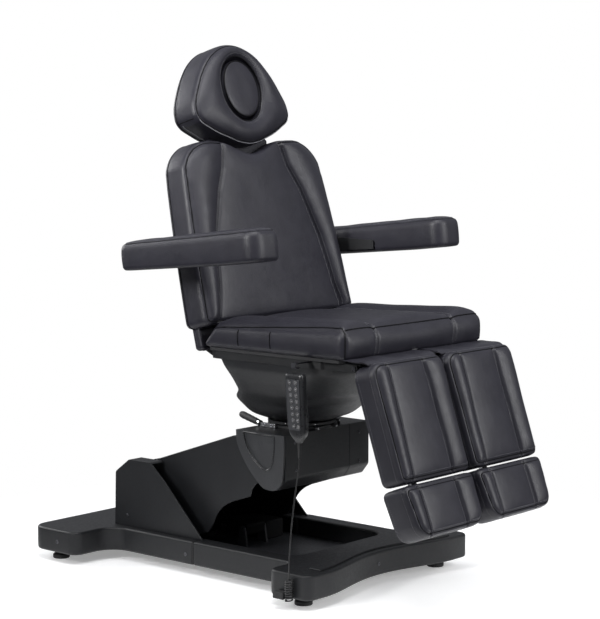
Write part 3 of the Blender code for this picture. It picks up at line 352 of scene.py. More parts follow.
def lathe(profile, origin, axis=UP, count=48):
    """Turned solid: profile of (radius, along) round an axis through origin."""
    turn = Vector(axis).to_track_quat("Z", "Y").to_matrix()
    rings = [[Vector(origin) + turn @ Vector((r * math.cos(a), r * math.sin(a), z)) for a in angles(count)]
             for r, z in profile]
    return loft(rings)


def tube(path, radius, sides=12, closed=False, bm=None, lay=None):
    """Round sweep along points; lay gives each point's outward direction, to keep the section from turning."""
    pts = [Vector(p) for p in path]
    count = len(pts)
    rings = []
    normal = None
    for i, p in enumerate(pts):
        if closed:
            way = (pts[(i + 1) % count] - pts[i - 1]).normalized()
        else:
            way = (pts[min(i + 1, count - 1)] - pts[max(i - 1, 0)]).normalized()
        if lay is not None:
            normal = (lay[i] - way * lay[i].dot(way)).normalized()
        elif normal is None:
            normal = way.orthogonal().normalized()
        else:
            normal = (normal - way * normal.dot(way)).normalized()
        across = way.cross(normal)
        rings.append([p + normal * (math.cos(a) * radius) + across * (math.sin(a) * radius)
                      for a in angles(sides)])
    return loft(rings, ring_shaped=closed, bm=bm)


def curve_through(points, count, closed=False):
    """Catmull-Rom curve through points, evenly spread over the spans."""
    pts = [Vector(p) for p in points]
    if closed:
        pts = [pts[-1]] + pts + pts[:2]
    else:
        pts = [2 * pts[0] - pts[1]] + pts + [2 * pts[-1] - pts[-2]]
    spans = len(pts) - 3
    out = []
    for i in range(count if closed else count + 1):
        s = i / count * spans
        k = min(int(s), spans - 1)
        t = s - k
        p0, p1, p2, p3 = pts[k:k + 4]
        out.append(0.5 * (2 * p1 + (p2 - p0) * t + (2 * p0 - 5 * p1 + 4 * p2 - p3) * t * t
                          + (3 * p1 - p0 - 3 * p2 + p3) * t ** 3))
    return out


def even(points, step, closed=False):
    """Points at equal steps along a line."""
    pts = [Vector(p) for p in points]
    if closed:
        pts = pts + [pts[0]]
    lengths = np.cumsum([0.0] + [(b - a).length for a, b in zip(pts, pts[1:])])
    count = max(2, int(round(lengths[-1] / step)))
    out = []
    for i in range(count if closed else count + 1):
        s = lengths[-1] * i / count
        k = min(int(np.searchsorted(lengths, s, "right")) - 1, len(pts) - 2)
        t = (s - lengths[k]) / max(lengths[k + 1] - lengths[k], 1e-12)
        out.append(pts[k].lerp(pts[k + 1], t))
    return out


# ------------------------------------------------------------------ slabs: leaning pads
def slab_frame(foot, lean):
    """(x, t, v): t runs to the back of the pad and v up its face."""
    return Matrix.Translation(Vector(foot)) @ Matrix.Rotation(-lean, 4, "X")


def outline_distance(points, outline):
    """Signed distance (negative inside) and outward direction from each (a, b) to a closed outline."""
    a = np.asarray(outline, float)
    b = np.roll(a, -1, 0)
    way = b - a
    size = (way ** 2).sum(1)
    slope = way[:, 0] / np.where(way[:, 1] == 0, 1e-12, way[:, 1])
    dist = np.empty(len(points))
    grad = np.empty((len(points), 2))
    area = (a[:, 0] * b[:, 1] - b[:, 0] * a[:, 1]).sum()
    for start in range(0, len(points), 8000):
        p = points[start:start + 8000]
        rel = p[:, None, :] - a[None]
        t = np.clip((rel * way[None]).sum(2) / size[None], 0, 1)
        off = rel - t[:, :, None] * way[None]
        d2 = (off ** 2).sum(2)
        k = d2.argmin(1)
        rows = np.arange(len(p))
        near = off[rows, k]
        d = np.sqrt(d2[rows, k])
        x, y = p[:, 0:1], p[:, 1:2]
        cond = (a[None, :, 1] > y) != (b[None, :, 1] > y)
        at = a[None, :, 0] + (y - a[None, :, 1]) * slope[None]
        inside = (cond & (x < at)).sum(1) % 2 == 1
        sign = np.where(inside, -1.0, 1.0)
        normal = np.stack([way[k, 1], -way[k, 0]], 1) * (1 if area > 0 else -1)
        normal /= np.linalg.norm(normal, axis=1)[:, None]
        use = d > 1e-6
        direction = np.where(use[:, None], near / np.maximum(d, 1e-9)[:, None] * sign[:, None], normal)
        dist[start:start + 8000] = sign * d
        grad[start:start + 8000] = direction
    return dist, grad


def line_distance(a, b, line):
    """Distance from each (a, b) to an open line of points."""
    best = np.full(len(a), 1e9)
    for (x0, y0), (x1, y1) in zip(line, line[1:]):
        dx, dy = x1 - x0, y1 - y0
        t = np.clip(((a - x0) * dx + (b - y0) * dy) / (dx * dx + dy * dy), 0, 1)
        best = np.minimum(best, np.hypot(a - x0 - t * dx, b - y0 - t * dy))
    return best


def pad_mesh(outline, t0, t1, front_edge, back_edge, voxel):
    """Even mesh of a rounded slab in (x, t, v), drawn onto its exact rounded surface."""
    mesh = remeshed(mesh_from(prism(outline, t0, t1, "Y"), "pad"), voxel)
    co = mesh_points(mesh)
    mid, half = (t0 + t1) / 2, (t1 - t0) / 2
    for _ in range(4):
        d, g = outline_distance(co[:, [0, 2]], outline)
        t = co[:, 1] - mid
        radius = np.where(t < 0, front_edge, back_edge)
        w0, w1 = d + radius, np.abs(t) - half + radius
        m0, m1 = np.maximum(w0, 0), np.maximum(w1, 0)
        outer = np.hypot(m0, m1)
        value = np.where(outer > 1e-9, outer, np.maximum(w0, w1)) - radius
        side0 = np.where(outer > 1e-9, m0 / np.maximum(outer, 1e-9), (w0 >= w1).astype(float))
        side1 = np.where(outer > 1e-9, m1 / np.maximum(outer, 1e-9), (w0 < w1).astype(float))
        co[:, 0] -= value * side0 * g[:, 0]
        co[:, 2] -= value * side0 * g[:, 1]
        co[:, 1] -= value * side1 * np.sign(t)
    return mesh, co


def ramp(x):
    x = np.clip(x, 0, 1)
    return x * x * (3 - 2 * x)


def dent(distance, width):
    return np.exp(-(distance / width) ** 2)


SWELL_FRAMES, SWELL_PRESSURE, SWELL_LIMIT, SWELL_VOXEL = 16, 4.0, 0.005, 0.0085


def cloth_swell(outline, depth, edges, held):
    """Inflate a coarse copy of the pad as cloth held at its seams; gives its points and their movements."""
    mesh, co = pad_mesh(outline, *depth, *edges, SWELL_VOXEL)
    d, _ = outline_distance(co[:, [0, 2]], outline)
    weights = held(co, d)
    mesh.vertices.foreach_set("co", co.ravel())
    obj = linked("swell", mesh)
    group = obj.vertex_groups.new(name="held")
    for i in np.nonzero(weights > 0.01)[0]:
        group.add([int(i)], float(weights[i]), "REPLACE")
    mod = obj.modifiers.new("Cloth", "CLOTH")
    cloth = mod.settings
    cloth.quality = 4
    cloth.mass = 0.35
    cloth.tension_stiffness = cloth.compression_stiffness = 18
    cloth.shear_stiffness = 6
    cloth.bending_stiffness = 0.8
    cloth.use_pressure = True
    cloth.uniform_pressure_force = SWELL_PRESSURE
    cloth.effector_weights.gravity = 0
    cloth.vertex_group_mass = "held"
    mod.collision_settings.use_collision = False
    mod.point_cache.frame_start = 1
    mod.point_cache.frame_end = SWELL_FRAMES
    for frame_number in range(1, SWELL_FRAMES + 1):
        bpy.context.scene.frame_set(frame_number)
    end = mesh_points(evaluated(obj))
    bpy.data.objects.remove(obj)
    bpy.context.scene.frame_set(1)
    move = end - co
    size = np.linalg.norm(move, axis=1)[:, None]
    return co, move * np.tanh(size / SWELL_LIMIT) * SWELL_LIMIT / np.maximum(size, 1e-9)


def carried(points, move, co):
    """Movement at each fine point, from the nearest coarse ones."""
    tree = KDTree(len(points))
    for i, p in enumerate(points):
        tree.insert(p, i)
    tree.balance()
    out = np.empty_like(co)
    for k, p in enumerate(co):
        near = tree.find_n(p, 5)
        weight = np.array([1 / (n[2] + 0.002) ** 2 for n in near])
        out[k] = (move[[n[1] for n in near]] * weight[:, None]).sum(0) / weight.sum()
    return out


def held_by(seams, depth):
    """Pins for the swelling: the back of the pad, its front border and its seams."""
    def weights(co, d):
        t0, t1 = depth
        pin = np.where(co[:, 1] > t1 - 0.3 * (t1 - t0), 1.0, 0.0)
        face = co[:, 1] < t0 + 0.014
        pin = np.maximum(pin, np.where((d > -0.004) & ~face, 0.9, 0))
        pin = np.maximum(pin, np.where(face & (np.abs(d + 0.006) < 0.007), 0.75, 0))
        for line in seams:
            pin = np.maximum(pin, np.where(face & (line_distance(co[:, 0], co[:, 2], line) < 0.006), 1.0, 0))
        return pin
    return weights


class Pad:
    """A leather cushion on a leaning slab: its mesh, and lines sewn onto it."""

    def __init__(self, name, outline, depth, frame, edges, shape, voxel, held=None):
        self.name = name
        self.t0, self.t1 = depth
        self.frame = frame
        mesh, co = pad_mesh(outline, *depth, *edges, voxel)
        if held:
            co += carried(*cloth_swell(outline, depth, edges, held), co)
        d, g = outline_distance(co[:, [0, 2]], outline)
        half = (self.t1 - self.t0) * 0.5
        front = ramp((self.t0 + half - co[:, 1]) / half)
        co = shape(co, d, g, front)
        mesh.vertices.foreach_set("co", co.ravel())
        mesh.transform(frame)
        mesh.update()
        self.mesh = mesh
        self.tree = BVHTree.FromPolygons([v.co.copy() for v in mesh.vertices],
                                         [tuple(p.vertices) for p in mesh.polygons])

    def piece(self, body, nodes):
        obj = made(self.name, self.mesh, "leather", body, nodes)

    def on_face(self, line, lift):
        """(x, v) points carried onto the pad's front face, with the face's normals."""
        spots, normals = [], []
        way = (self.frame.to_3x3() @ Vector((0, 1, 0))).normalized()
        for x, v in line:
            start = self.frame @ Vector((x, self.t0 - 0.06, v))
            hit, normal, _, _ = self.tree.ray_cast(start, way)
            if hit is None:
                hit, normal, _, _ = self.tree.find_nearest(start + way * 0.06)
            if normal.dot(way) > 0:
                normal = -normal
            spots.append(hit + normal * lift)
            normals.append(normal)
        return spots, normals

    def on_skin(self, points, lift):
        """Points near the pad, carried onto the nearest place on it."""
        spots, normals = [], []
        for point in points:
            hit, normal, _, _ = self.tree.find_nearest(Vector(point))
            spots.append(hit + normal * lift)
            normals.append(normal)
        return spots, normals

    def on_side(self, line, lift):
        """Points (x, v, t) near the side band, carried onto it."""
        return self.on_skin([self.frame @ Vector((x, t, v)) for x, v, t in line], lift)


THREAD_LENGTH, THREAD_PITCH, THREAD_R = 0.0036, 0.0052, 0.00050


def stitches(name, lines, body):
    """Rows of short threads: lines of (points, normals)."""
    bm = bmesh.new()
    for points, normals in lines:
        dense = even(points, THREAD_PITCH / 2)
        count = len(points)
        for i in range(0, len(dense) - 1, 2):
            k = min(count - 1, int(i / max(1, len(dense) - 1) * (count - 1)))
            a = dense[i]
            way = dense[i + 1] - a
            if way.length < 1e-9:
                continue
            way.normalize()
            n = (normals[k] - way * normals[k].dot(way)).normalized()
            c = way.cross(n)
            rings = []
            for s, r, h in ((0.0, 0.35, -0.5), (0.18, 1.0, 0.45), (0.82, 1.0, 0.45), (1.0, 0.35, -0.5)):
                mid = a + way * (THREAD_LENGTH * s) + n * (THREAD_R * h)
                rings.append([mid + n * (THREAD_R * r * math.cos(q)) + c * (THREAD_R * r * math.sin(q))
                              for q in (0.0, 1.5708, 3.1416, 4.7124)])
            loft(rings, bm=bm)
    solid(name, bm, "thread", body, smooth=60)


def piping(name, lines, body, radius, closed=False, mat="piping"):
    bm = bmesh.new()
    for points, normals in lines:
        tube(points, radius, 8, closed, bm, normals)
    solid(name, bm, mat, body, smooth=80)


# ------------------------------------------------------------------ camera, light, floor
def make_camera():
    data = bpy.data.cameras.new("camera")
    data.lens = 110.27
    data.sensor_width = 36.0
    cam = linked("camera", data)
    cam.location = (-3.674, -3.2155, 1.17)
    cam.rotation_euler = (math.radians(84.29), 0, math.radians(-49))
    bpy.context.scene.camera = cam


def area_light(name, spot, aim, size, power, spread_angle=150):
    data = bpy.data.lights.new(name, "AREA")
    data.shape = "RECTANGLE"
    data.size, data.size_y = size
    data.energy = power
    data.spread = math.radians(spread_angle)
    lamp = linked(name, data)
    lamp.location = spot
    lamp.rotation_euler = (Vector(aim) - Vector(spot)).to_track_quat("-Z", "Y").to_euler()


def make_light():
    world = bpy.data.worlds.new("studio")
    bpy.context.scene.world = world
    world.use_nodes = True
    tree = world.node_tree
    backdrop = tree.nodes["Background"]
    backdrop.inputs["Color"].default_value = (1.0, 1.0, 1.0, 1)
    backdrop.inputs["Strength"].default_value = 1.0
    # the room's own light, dimmer than the white backdrop and stronger from above
    height = node(tree, "SeparateXYZ", {0: node(tree, "TexCoord").outputs["Generated"]})
    room = node(tree, "Background", {"Color": (0.93, 0.95, 1.0, 1),
                                     "Strength": spread(tree, height.outputs["Z"], 0.10, 0.55, (-0.2, 0.9))})
    mix = node(tree, "MixShader", {"Fac": node(tree, "LightPath").outputs["Is Camera Ray"],
                                   1: room.outputs["Background"], 2: backdrop.outputs["Background"]})
    tree.links.new(mix.outputs["Shader"], tree.nodes["World Output"].inputs["Surface"])
    area_light("top_soft", (-0.8, -0.9, 3.3), (0, 0, 0.5), (1.8, 1.8), 58)
    area_light("front_soft", (0.9, -3.4, 1.9), (0, 0, 0.7), (1.2, 2.2), 74)
    area_light("side_soft", (-3.2, 0.4, 2.3), (0, 0.15, 1.20), (0.8, 1.4), 14, 48)
    area_light("back_soft", (-0.5, 3.4, 1.9), (0, 0, 0.7), (1.8, 1.4), 46)
    bpy.context.scene.view_settings.view_transform = "Standard"


FLOOR_R, FADE_FROM, FADE_TO = 6.0, 0.55, 1.35


def make_floor():
    bm = bmesh.new()
    bm.faces.new([bm.verts.new((a, b, -0.0002)) for a, b in circle((0, 0), FLOOR_R, 64)])
    floor = linked("floor", mesh_from(bm, "floor"))
    mat, tree, shader = tree_of("floor")
    shader.inputs["Base Color"].default_value = (0.94, 0.94, 0.94, 1)
    shader.inputs["Emission Color"].default_value = (1, 1, 1, 1)
    shader.inputs["Emission Strength"].default_value = 0.28
    at = object_coords(tree)
    tree.links.new(spread(tree, noise(tree, 3, 2, 0.5, at), 0.55, 0.62), shader.inputs["Roughness"])
    # the floor fades into the white backdrop away from the chair
    far = node(tree, "VectorMath", {0: at}, operation="LENGTH")
    fade = node(tree, "MapRange", {"Value": far.outputs["Value"], "From Min": FADE_FROM, "From Max": FADE_TO},
                interpolation_type="SMOOTHSTEP")
    both = node(tree, "MixShader", {"Fac": fade.outputs["Result"], 1: shader.outputs["BSDF"],
                                    2: node(tree, "BsdfTransparent").outputs["BSDF"]})
    tree.links.new(both.outputs["Shader"], tree.nodes["Material Output"].inputs["Surface"])
    floor.data.materials.append(mat)


# ------------------------------------------------------------------ cords
CORD_D = 0.0036
LEAD_ROUTE = [(-0.3385, -0.2500, 0.0773), (-0.3381, -0.2501, 0.100), (-0.3362, -0.2506, 0.140),
              (-0.3325, -0.2518, 0.190), (-0.3273, -0.2537, 0.240), (-0.3210, -0.2562, 0.290),
              (-0.3145, -0.2588, 0.330), (-0.3110, -0.2603, 0.3655)]
COIL_X, COIL_Y, COIL_R = -0.3385, -0.2500, 0.0087
COIL_LOW, COIL_TOP, COIL_TURNS = 0.0245, 0.0750, 8.75


def coil_route():
    """Out of the gland, round the coil, and up into the straight lead."""
    turns = []
    steps = int(COIL_TURNS * 16)
    start = math.radians(75)
    for k in range(steps + 1):
        s = k / steps
        a = start + 2 * math.pi * COIL_TURNS * s
        z = COIL_LOW + (COIL_TOP - COIL_LOW) * s
        turns.append(Vector((COIL_X + COIL_R * math.cos(a), COIL_Y + COIL_R * math.sin(a), z)))
    mouth = Vector((COIL_X + 0.0008, COIL_Y + 0.0130, COIL_LOW))
    leave = (mouth + turns[0]) / 2 + Vector((0, 0.0006, 0))
    lead_start = Vector(LEAD_ROUTE[0])
    arrive = turns[-1].lerp(lead_start, 0.5) + Vector((0.0005, 0.0010, 0.0003))
    return [mouth, leave] + turns + [arrive, lead_start + Vector((0, 0, 0.0004))]


def cord_curve(name, points):
    curve = bpy.data.curves.new(name, "CURVE")
    curve.dimensions = "3D"
    curve.bevel_depth = CORD_D / 2
    curve.bevel_resolution = 3
    curve.use_fill_caps = True
    spline = curve.splines.new("POLY")
    spline.points.add(len(points) - 1)
    for spot, point in zip(spline.points, points):
        spot.co = (*(point + SHIFT), 1.0)
    curve.materials.append(M["cord"])
    return linked(name, curve)


def make_cords():
    coil = coil_route()
    obj = cord_curve("hand_control_coil", coil)
    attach(obj, "base")
    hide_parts("pendant_cord_coil")
    lead = curve_through(LEAD_ROUTE, 36)
    obj = made("hand_control_lead", mesh_from(tube(lead, CORD_D / 2, 16), "lead"), "cord", None,
               ["pendant_cord_lead"], 60)
    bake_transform(obj)


# ------------------------------------------------------------------ base
BASE_LOW, BASE_TOP = 0.026, 0.088
RAIL_OUT, RAIL_IN = 0.232, 0.180
FRONT_HALF, FRONT_Y, FRONT_BACK_Y = 0.325, -0.300, -0.165
FRONT_BOW, BOW_HALF = 0.045, 0.255
REAR_HALF, REAR_FRONT_Y, REAR_Y = 0.365, 0.475, 0.650
SEAM_Y = 0.175
TRAY_FRONT_Y = -0.130
GAP = 0.0003


def mirror_x(outline):
    return [(-a, b) for a, b in reversed(outline)]


def front_bow(inset=0.0, half=BOW_HALF):
    steps = 40
    return [(s * half, FRONT_Y + inset + FRONT_BOW * (1 - (s * half / BOW_HALF) ** 2) ** 2)
            for s in (-1 + 2 * i / steps for i in range(steps + 1))]


def screw(name, spot, way, body, radius, mat="bolt"):
    """Socket-head screw lying on a surface, its head turned with a hollow hexagon."""
    turn = Vector(way).normalized().to_track_quat("Z", "Y").to_matrix()
    rings = []
    for r, z in ((1.0, -0.0012), (1.0, 0.0006), (0.84, 0.0015), (0.50, 0.0017)):
        r *= radius
        rings.append([Vector(spot) + turn @ Vector((r * math.cos(a), r * math.sin(a), z)) for a in angles(24)])
    for r, z in ((0.48, 0.0016), (0.45, -0.0008)):
        ring = []
        for a in angles(24):
            k = radius * r * math.cos(math.pi / 6) / math.cos((a % (math.pi / 3)) - math.pi / 6)
            ring.append(Vector(spot) + turn @ Vector((k * math.cos(a), k * math.sin(a), z)))
        rings.append(ring)
    solid(name, loft(rings), mat, body, smooth=35)


def make_base():
    near = rounded([(-RAIL_OUT, SEAM_Y - GAP, 0), (-RAIL_OUT, FRONT_BACK_Y, 0.020),
                    (-FRONT_HALF, FRONT_BACK_Y, 0.030), (-FRONT_HALF, FRONT_Y, 0.026),
                    (-BOW_HALF, FRONT_Y, 0)], 10)[:-1]
    far = mirror_x(near)
    inner = rounded([(RAIL_IN, SEAM_Y - GAP, 0), (RAIL_IN, TRAY_FRONT_Y, 0.045),
                     (-RAIL_IN, TRAY_FRONT_Y, 0.045), (-RAIL_IN, SEAM_Y - GAP, 0)], 12)
    front = prism(near + front_bow() + far + inner, BASE_LOW, BASE_TOP, "Z")
    solid("base_front", front, "plastic", "base", ["base_front_frame"], 0.0065, 4)

    # stepped ridge that follows the bowed front of the beam
    low = front_bow(0.018, 0.262)
    high = [(x, y + 0.034) for x, y in low]
    ridge = prism(low + high[::-1], BASE_TOP - 0.003, BASE_TOP + 0.0045, "Z")
    solid("base_front_ridge", ridge, "plastic", "base", (), 0.0030, 3)

    mid = (REAR_FRONT_Y + REAR_Y) / 2
    near = rounded([(-REAR_HALF, mid, 0), (-REAR_HALF, REAR_FRONT_Y, 0.030),
                    (-RAIL_OUT, REAR_FRONT_Y, 0.055), (-RAIL_OUT, SEAM_Y + GAP, 0)], 12)
    inner = rounded([(-RAIL_IN, SEAM_Y + GAP, 0), (-RAIL_IN, REAR_FRONT_Y - 0.01, 0.030),
                     (RAIL_IN, REAR_FRONT_Y - 0.01, 0.030), (RAIL_IN, SEAM_Y + GAP, 0)], 10)
    far = mirror_x(near)
    back = rounded([(REAR_HALF, mid, 0), (REAR_HALF, REAR_Y, 0.045), (-REAR_HALF, REAR_Y, 0.045),
                    (-REAR_HALF, mid, 0)], 12)[1:-1]
    rear = prism(near + inner + far + back, BASE_LOW, BASE_TOP, "Z")
    solid("base_rear", rear, "plastic", "base", ["base_rear_frame"], 0.0065, 4)

    # dark joint strip between the two halves of each rail
    for tag, sign in SIDES:
        x0, x1 = sorted((sign * (RAIL_OUT - 0.0012), sign * (RAIL_IN + 0.0012)))
        strip = box((x0, SEAM_Y - 0.0016, BASE_LOW + 0.002), (x1, SEAM_Y + 0.0016, BASE_TOP - 0.0012))
        solid(f"base_seam_{tag}", strip, "rubber", "base", (), 0.0005, 1)
        screw(f"rail_screw_{tag}", (sign * RAIL_OUT, 0.200, 0.052), (sign, 0, 0), "base", 0.0048)
        screw(f"rear_screw_{tag}", (sign * REAR_HALF, 0.545, 0.056), (sign, 0, 0), "base", 0.0052)
    screw("front_screw", (0, FRONT_Y + FRONT_BOW, 0.056), (0, -1, 0), "base", 0.0048)

    for name, (x, y) in {"front_right": (-0.265, -0.233), "front_left": (0.265, -0.233),
                         "rear_right": (-0.315, 0.585), "rear_left": (0.315, 0.585)}.items():
        profile = [(0.0212, 0.0), (0.0225, 0.0014), (0.0225, 0.0085), (0.0215, 0.0100), (0.0190, 0.0125),
                   (0.0125, 0.0140), (0.0110, 0.0150), (0.0110, BASE_LOW - GAP)]
        solid("foot_" + name, lathe(profile, (x, y, 0), count=40), "rubber", "base",
              ["levelling_foot_" + name])


def shell(name, outer, inner, mat, body, replaced, bevel, cuts=(), segments=3):
    """Hollow moulding: an outer solid less an inner one and other cuts, with its edges rounded."""
    obj = solid(name, outer, mat, body, [replaced], smooth=30)
    cutters = []
    for tool in (inner, *cuts):
        cutter = linked(name + "_cut", mesh_from(tool, name + "_cut"))
        cutter.data.transform(Matrix.Translation(SHIFT))
        cutters.append(cutter)
        mod = obj.modifiers.new("Cut", "BOOLEAN")
        mod.operation = "DIFFERENCE"
        mod.object = cutter
    mesh = evaluated(obj)
    obj.modifiers.clear()
    obj.data = mesh
    for cutter in cutters:
        bpy.data.objects.remove(cutter)
    finished(mesh, mat, 30)
    bevelled(obj, bevel, segments, 40)


def make_housing():
    half, wall = 0.208, 0.004
    outline = rounded([(0.488, BASE_TOP + GAP, 0), (0.484, 0.232, 0.012), (0.432, 0.270, 0.015),
                       (0.352, 0.270, 0.012), (0.298, 0.226, 0.05), (0.160, BASE_TOP + GAP, 0)], 12)
    hollow = rounded([(0.484, 0.0, 0), (0.480, 0.229, 0.010), (0.430, 0.270 - wall, 0.012),
                      (0.100, 0.270 - wall, 0), (0.100, 0.0, 0)], 8)
    inner = half - wall
    slot = box((-0.164, 0.10, 0.10), (0.164, 0.457, 0.30))
    shell("housing", prism(outline, -half, half), prism(hollow, -inner, inner), "plastic", "base",
          "rear_housing", 0.0022, [slot])
    for tag, sign in SIDES:
        screw(f"housing_screw_{tag}", (sign * half, 0.440, 0.118), (sign, 0, 0), "base", 0.0042)


# ------------------------------------------------------------------ lift arm cover and head
LIFT_PIVOT = Vector((0.0, 0.400, 0.170))
HEAD_PIVOT = Vector((0.0, 0.000, 0.305))
ARM_LENGTH = (HEAD_PIVOT - LIFT_PIVOT).length


def arm_matrix():
    along = HEAD_PIVOT - LIFT_PIVOT
    return (Matrix.Translation(LIFT_PIVOT) @ Matrix.Rotation(-math.atan2(along.z, -along.y), 4, "X")
            @ Matrix.Diagonal((1, -1, 1, 1)))


def arm_prism(outline, low, high):
    bm = prism(outline, low, high)
    bmesh.ops.transform(bm, matrix=arm_matrix(), verts=bm.verts)
    return bm


def make_arm_cover():
    end, half, wall = ARM_LENGTH, 0.158, 0.004
    top = [(0.020, 0.0840), (0.060, 0.0880), (0.345, 0.0880), (0.372, 0.080)]
    front = [(0.395, 0.055), (end - 0.002, 0.020), (end - 0.002, -0.044), (end - 0.038, -0.048),
             (end - 0.056, -0.058), (end - 0.066, -0.0750)]
    low = [tuple(p)[:2] for p in curve_through([(a, b, 0) for a, b in (
        (0.290, -0.0750), (0.262, -0.0790), (0.238, -0.0880), (0.218, -0.1020), (0.200, -0.1200),
        (0.178, -0.1350))], 20)]
    tail = [(0.120, -0.1350), (0.030, -0.1150)]
    drum = arc((0, 0), 0.078, 186, 105, 24)
    outline = top + front + low + tail + drum
    bore = arc((0, 0), 0.078 - wall, 186, 105, 24)
    cavity = [(0.020, 0.0800), (0.060, 0.0840), (0.345, 0.0840), (0.372, 0.076), (0.60, 0.076), (0.60, -0.20),
              (bore[0][0], -0.20)] + bore
    shell("arm_shroud", arm_prism(outline, -half, half), arm_prism(cavity, wall - half, half - wall), "plastic",
          "lift_arm", "arm_cover", 0.0060, segments=4)


HEAD_HALF, HEAD_TOP, HEAD_LOW = 0.168, 0.384, 0.240
HEAD_FRONT_Y, HEAD_BACK_Y = -0.085, 0.079
CAP_SPLIT_X = 0.089


def head_outline():
    front, back, low, top = HEAD_FRONT_Y, HEAD_BACK_Y, HEAD_LOW, HEAD_TOP
    sweep = [tuple(p)[:2] for p in curve_through([(a, b, 0) for a, b in (
        (-0.030, low + 0.001), (back - 0.075, top - 0.132), (back - 0.043, top - 0.108),
        (back - 0.020, top - 0.078), (back - 0.006, top - 0.040), (back, top))], 30)]
    corners = [(front, top, 0), (front, low + 0.030, 0.018), (front + 0.022, low + 0.003, 0.012),
               (-0.052, low, 0)]
    return rounded(corners + [(y, z, 0) for y, z in sweep], 10)


SHIELD = [(0.0790, 0.3840), (0.0765, 0.3560), (0.0690, 0.3361), (0.0479, 0.3025), (0.0203, 0.2713),
          (-0.0117, 0.2445), (-0.0299, 0.2404), (-0.0455, 0.2404), (-0.0610, 0.2450), (-0.0745, 0.2580),
          (-0.0800, 0.2802),
          (-0.0832, 0.3230), (-0.0840, 0.3568), (-0.0835, 0.3840)]
SHIELD_PANEL = [(0.0534, 0.3815), (0.0477, 0.3595), (0.0385, 0.3398), (0.0202, 0.3161), (-0.0027, 0.2965),
                (-0.0210, 0.2893), (-0.0346, 0.2935), (-0.0448, 0.3050), (-0.0494, 0.3277), (-0.0517, 0.3536),
                (-0.0517, 0.3790)]


def smooth_loop(points, count):
    """Smooth outline through points, with a straight top from the last back to the first."""
    return [(p.x, p.y) for p in curve_through([(a, b, 0) for a, b in points], count)]


def make_head():
    half, wall = HEAD_HALF, 0.006
    shield = smooth_loop(SHIELD, 120)
    panel = smooth_loop(SHIELD_PANEL, 90)
    floor = [(y * 0.93 - 0.0005, 0.338 + (z - 0.338) * 0.93) for y, z in panel]
    deep = bmesh.new()
    loft([[(-half - 0.004, y, z) for y, z in panel], [(-half - 0.0002, y, z) for y, z in panel],
          [(-half + 0.0026, y, z) for y, z in floor]], bm=deep)
    # the near cheek takes the lighter 'panel' copy of the plastic: painted light
    shell("head_cheek_right", prism(shield, -half - 0.0008, -half + wall), deep, "panel", "head",
          "head_cover_right", 0.0026)
    rim = [Vector((-half - 0.0006, y, z)) for y, z in panel]
    solid("head_cheek_rim", tube(rim, 0.0019, 10, True), "gloss", "head", smooth=80)
    inner = [(HEAD_FRONT_Y + wall, 0.50), (HEAD_FRONT_Y + wall, HEAD_LOW + 0.028), (-0.062, HEAD_LOW + 0.008),
             (-0.052, HEAD_LOW + 0.0065), (-0.020, HEAD_LOW + 0.0065), (-0.020, 0.10), (0.20, 0.10), (0.20, 0.50)]
    outline = head_outline()
    shell("head_cap_left", prism(outline, CAP_SPLIT_X + GAP, half), prism(inner, 0.0, half - wall), "plastic",
          "head", "head_cover_left", 0.0022)
    skin = 0.005
    strip = [p for p in outline if p[0] < -0.0215 and p[1] < HEAD_TOP - 0.001
             and (p[1] < 0.30 or p[0] < -0.06)]
    strip = [(HEAD_FRONT_Y, HEAD_TOP)] + strip + [
        (-0.021, HEAD_LOW + 0.001), (-0.021, HEAD_LOW + 0.006), (-0.052, HEAD_LOW + 0.006),
        (-0.060, HEAD_LOW + 0.008), (HEAD_FRONT_Y + skin, HEAD_LOW + 0.030), (HEAD_FRONT_Y + skin, HEAD_TOP)]
    solid("head_front", prism(strip, -half + wall + GAP, CAP_SPLIT_X - GAP), "plastic", "head",
          ["head_front_panel"], 0.0010, 2)
    rim = [Vector((half + 0.0002, y, z)) for y, z in panel]
    solid("head_cap_rim", tube(rim, 0.0016, 10, True), "plastic", "head", smooth=80)
    for k, (x, z) in enumerate(((-0.127, 0.362), (-0.122, 0.291), (0.128, 0.358), (0.128, 0.282))):
        screw(f"head_screw_{k}", (x, HEAD_FRONT_Y, z), (0, -1, 0), "head", 0.0040)


TABLE_BLOCKS = {"head": (-150, -115, -75, -40, 5, 50), "seat": (-165, -120, -60, 10, 60, 100)}


def make_turntable():
    for name, body, z in (("turntable_lower", "head", 0.3843), ("turntable_upper", "seat", 0.3943)):
        profile = [(0.0885, 0.0), (0.090, 0.0012), (0.090, 0.0073), (0.0885, 0.0085), (0.052, 0.0085)]
        plate = lathe(profile, (0, 0, z), count=72)
        solid(name, plate, "coat", body, [name + "_plate"], smooth=35)
        lift = 0.0004 if body == "head" else 0.0034
        blocks = bmesh.new()
        for degrees in TABLE_BLOCKS[body]:
            turn = Matrix.Rotation(math.radians(degrees), 4, "Z")
            start = len(blocks.verts)
            box((0.084, -0.008, z + lift), (0.0975, 0.008, z + 0.0081), blocks)
            blocks.verts.ensure_lookup_table()
            bmesh.ops.transform(blocks, matrix=turn, verts=blocks.verts[start:])
        solid(name + "_blocks", blocks, "coat", body, (), 0.0012, 2)
        for k, degrees in enumerate(TABLE_BLOCKS[body]):
            a = math.radians(degrees)
            spot = (0.0975 * math.cos(a), 0.0975 * math.sin(a), z + (lift + 0.0081) / 2)
            screw(f"{name}_bolt_{k}", spot, (math.cos(a), math.sin(a), 0), body, 0.0020, "chrome")


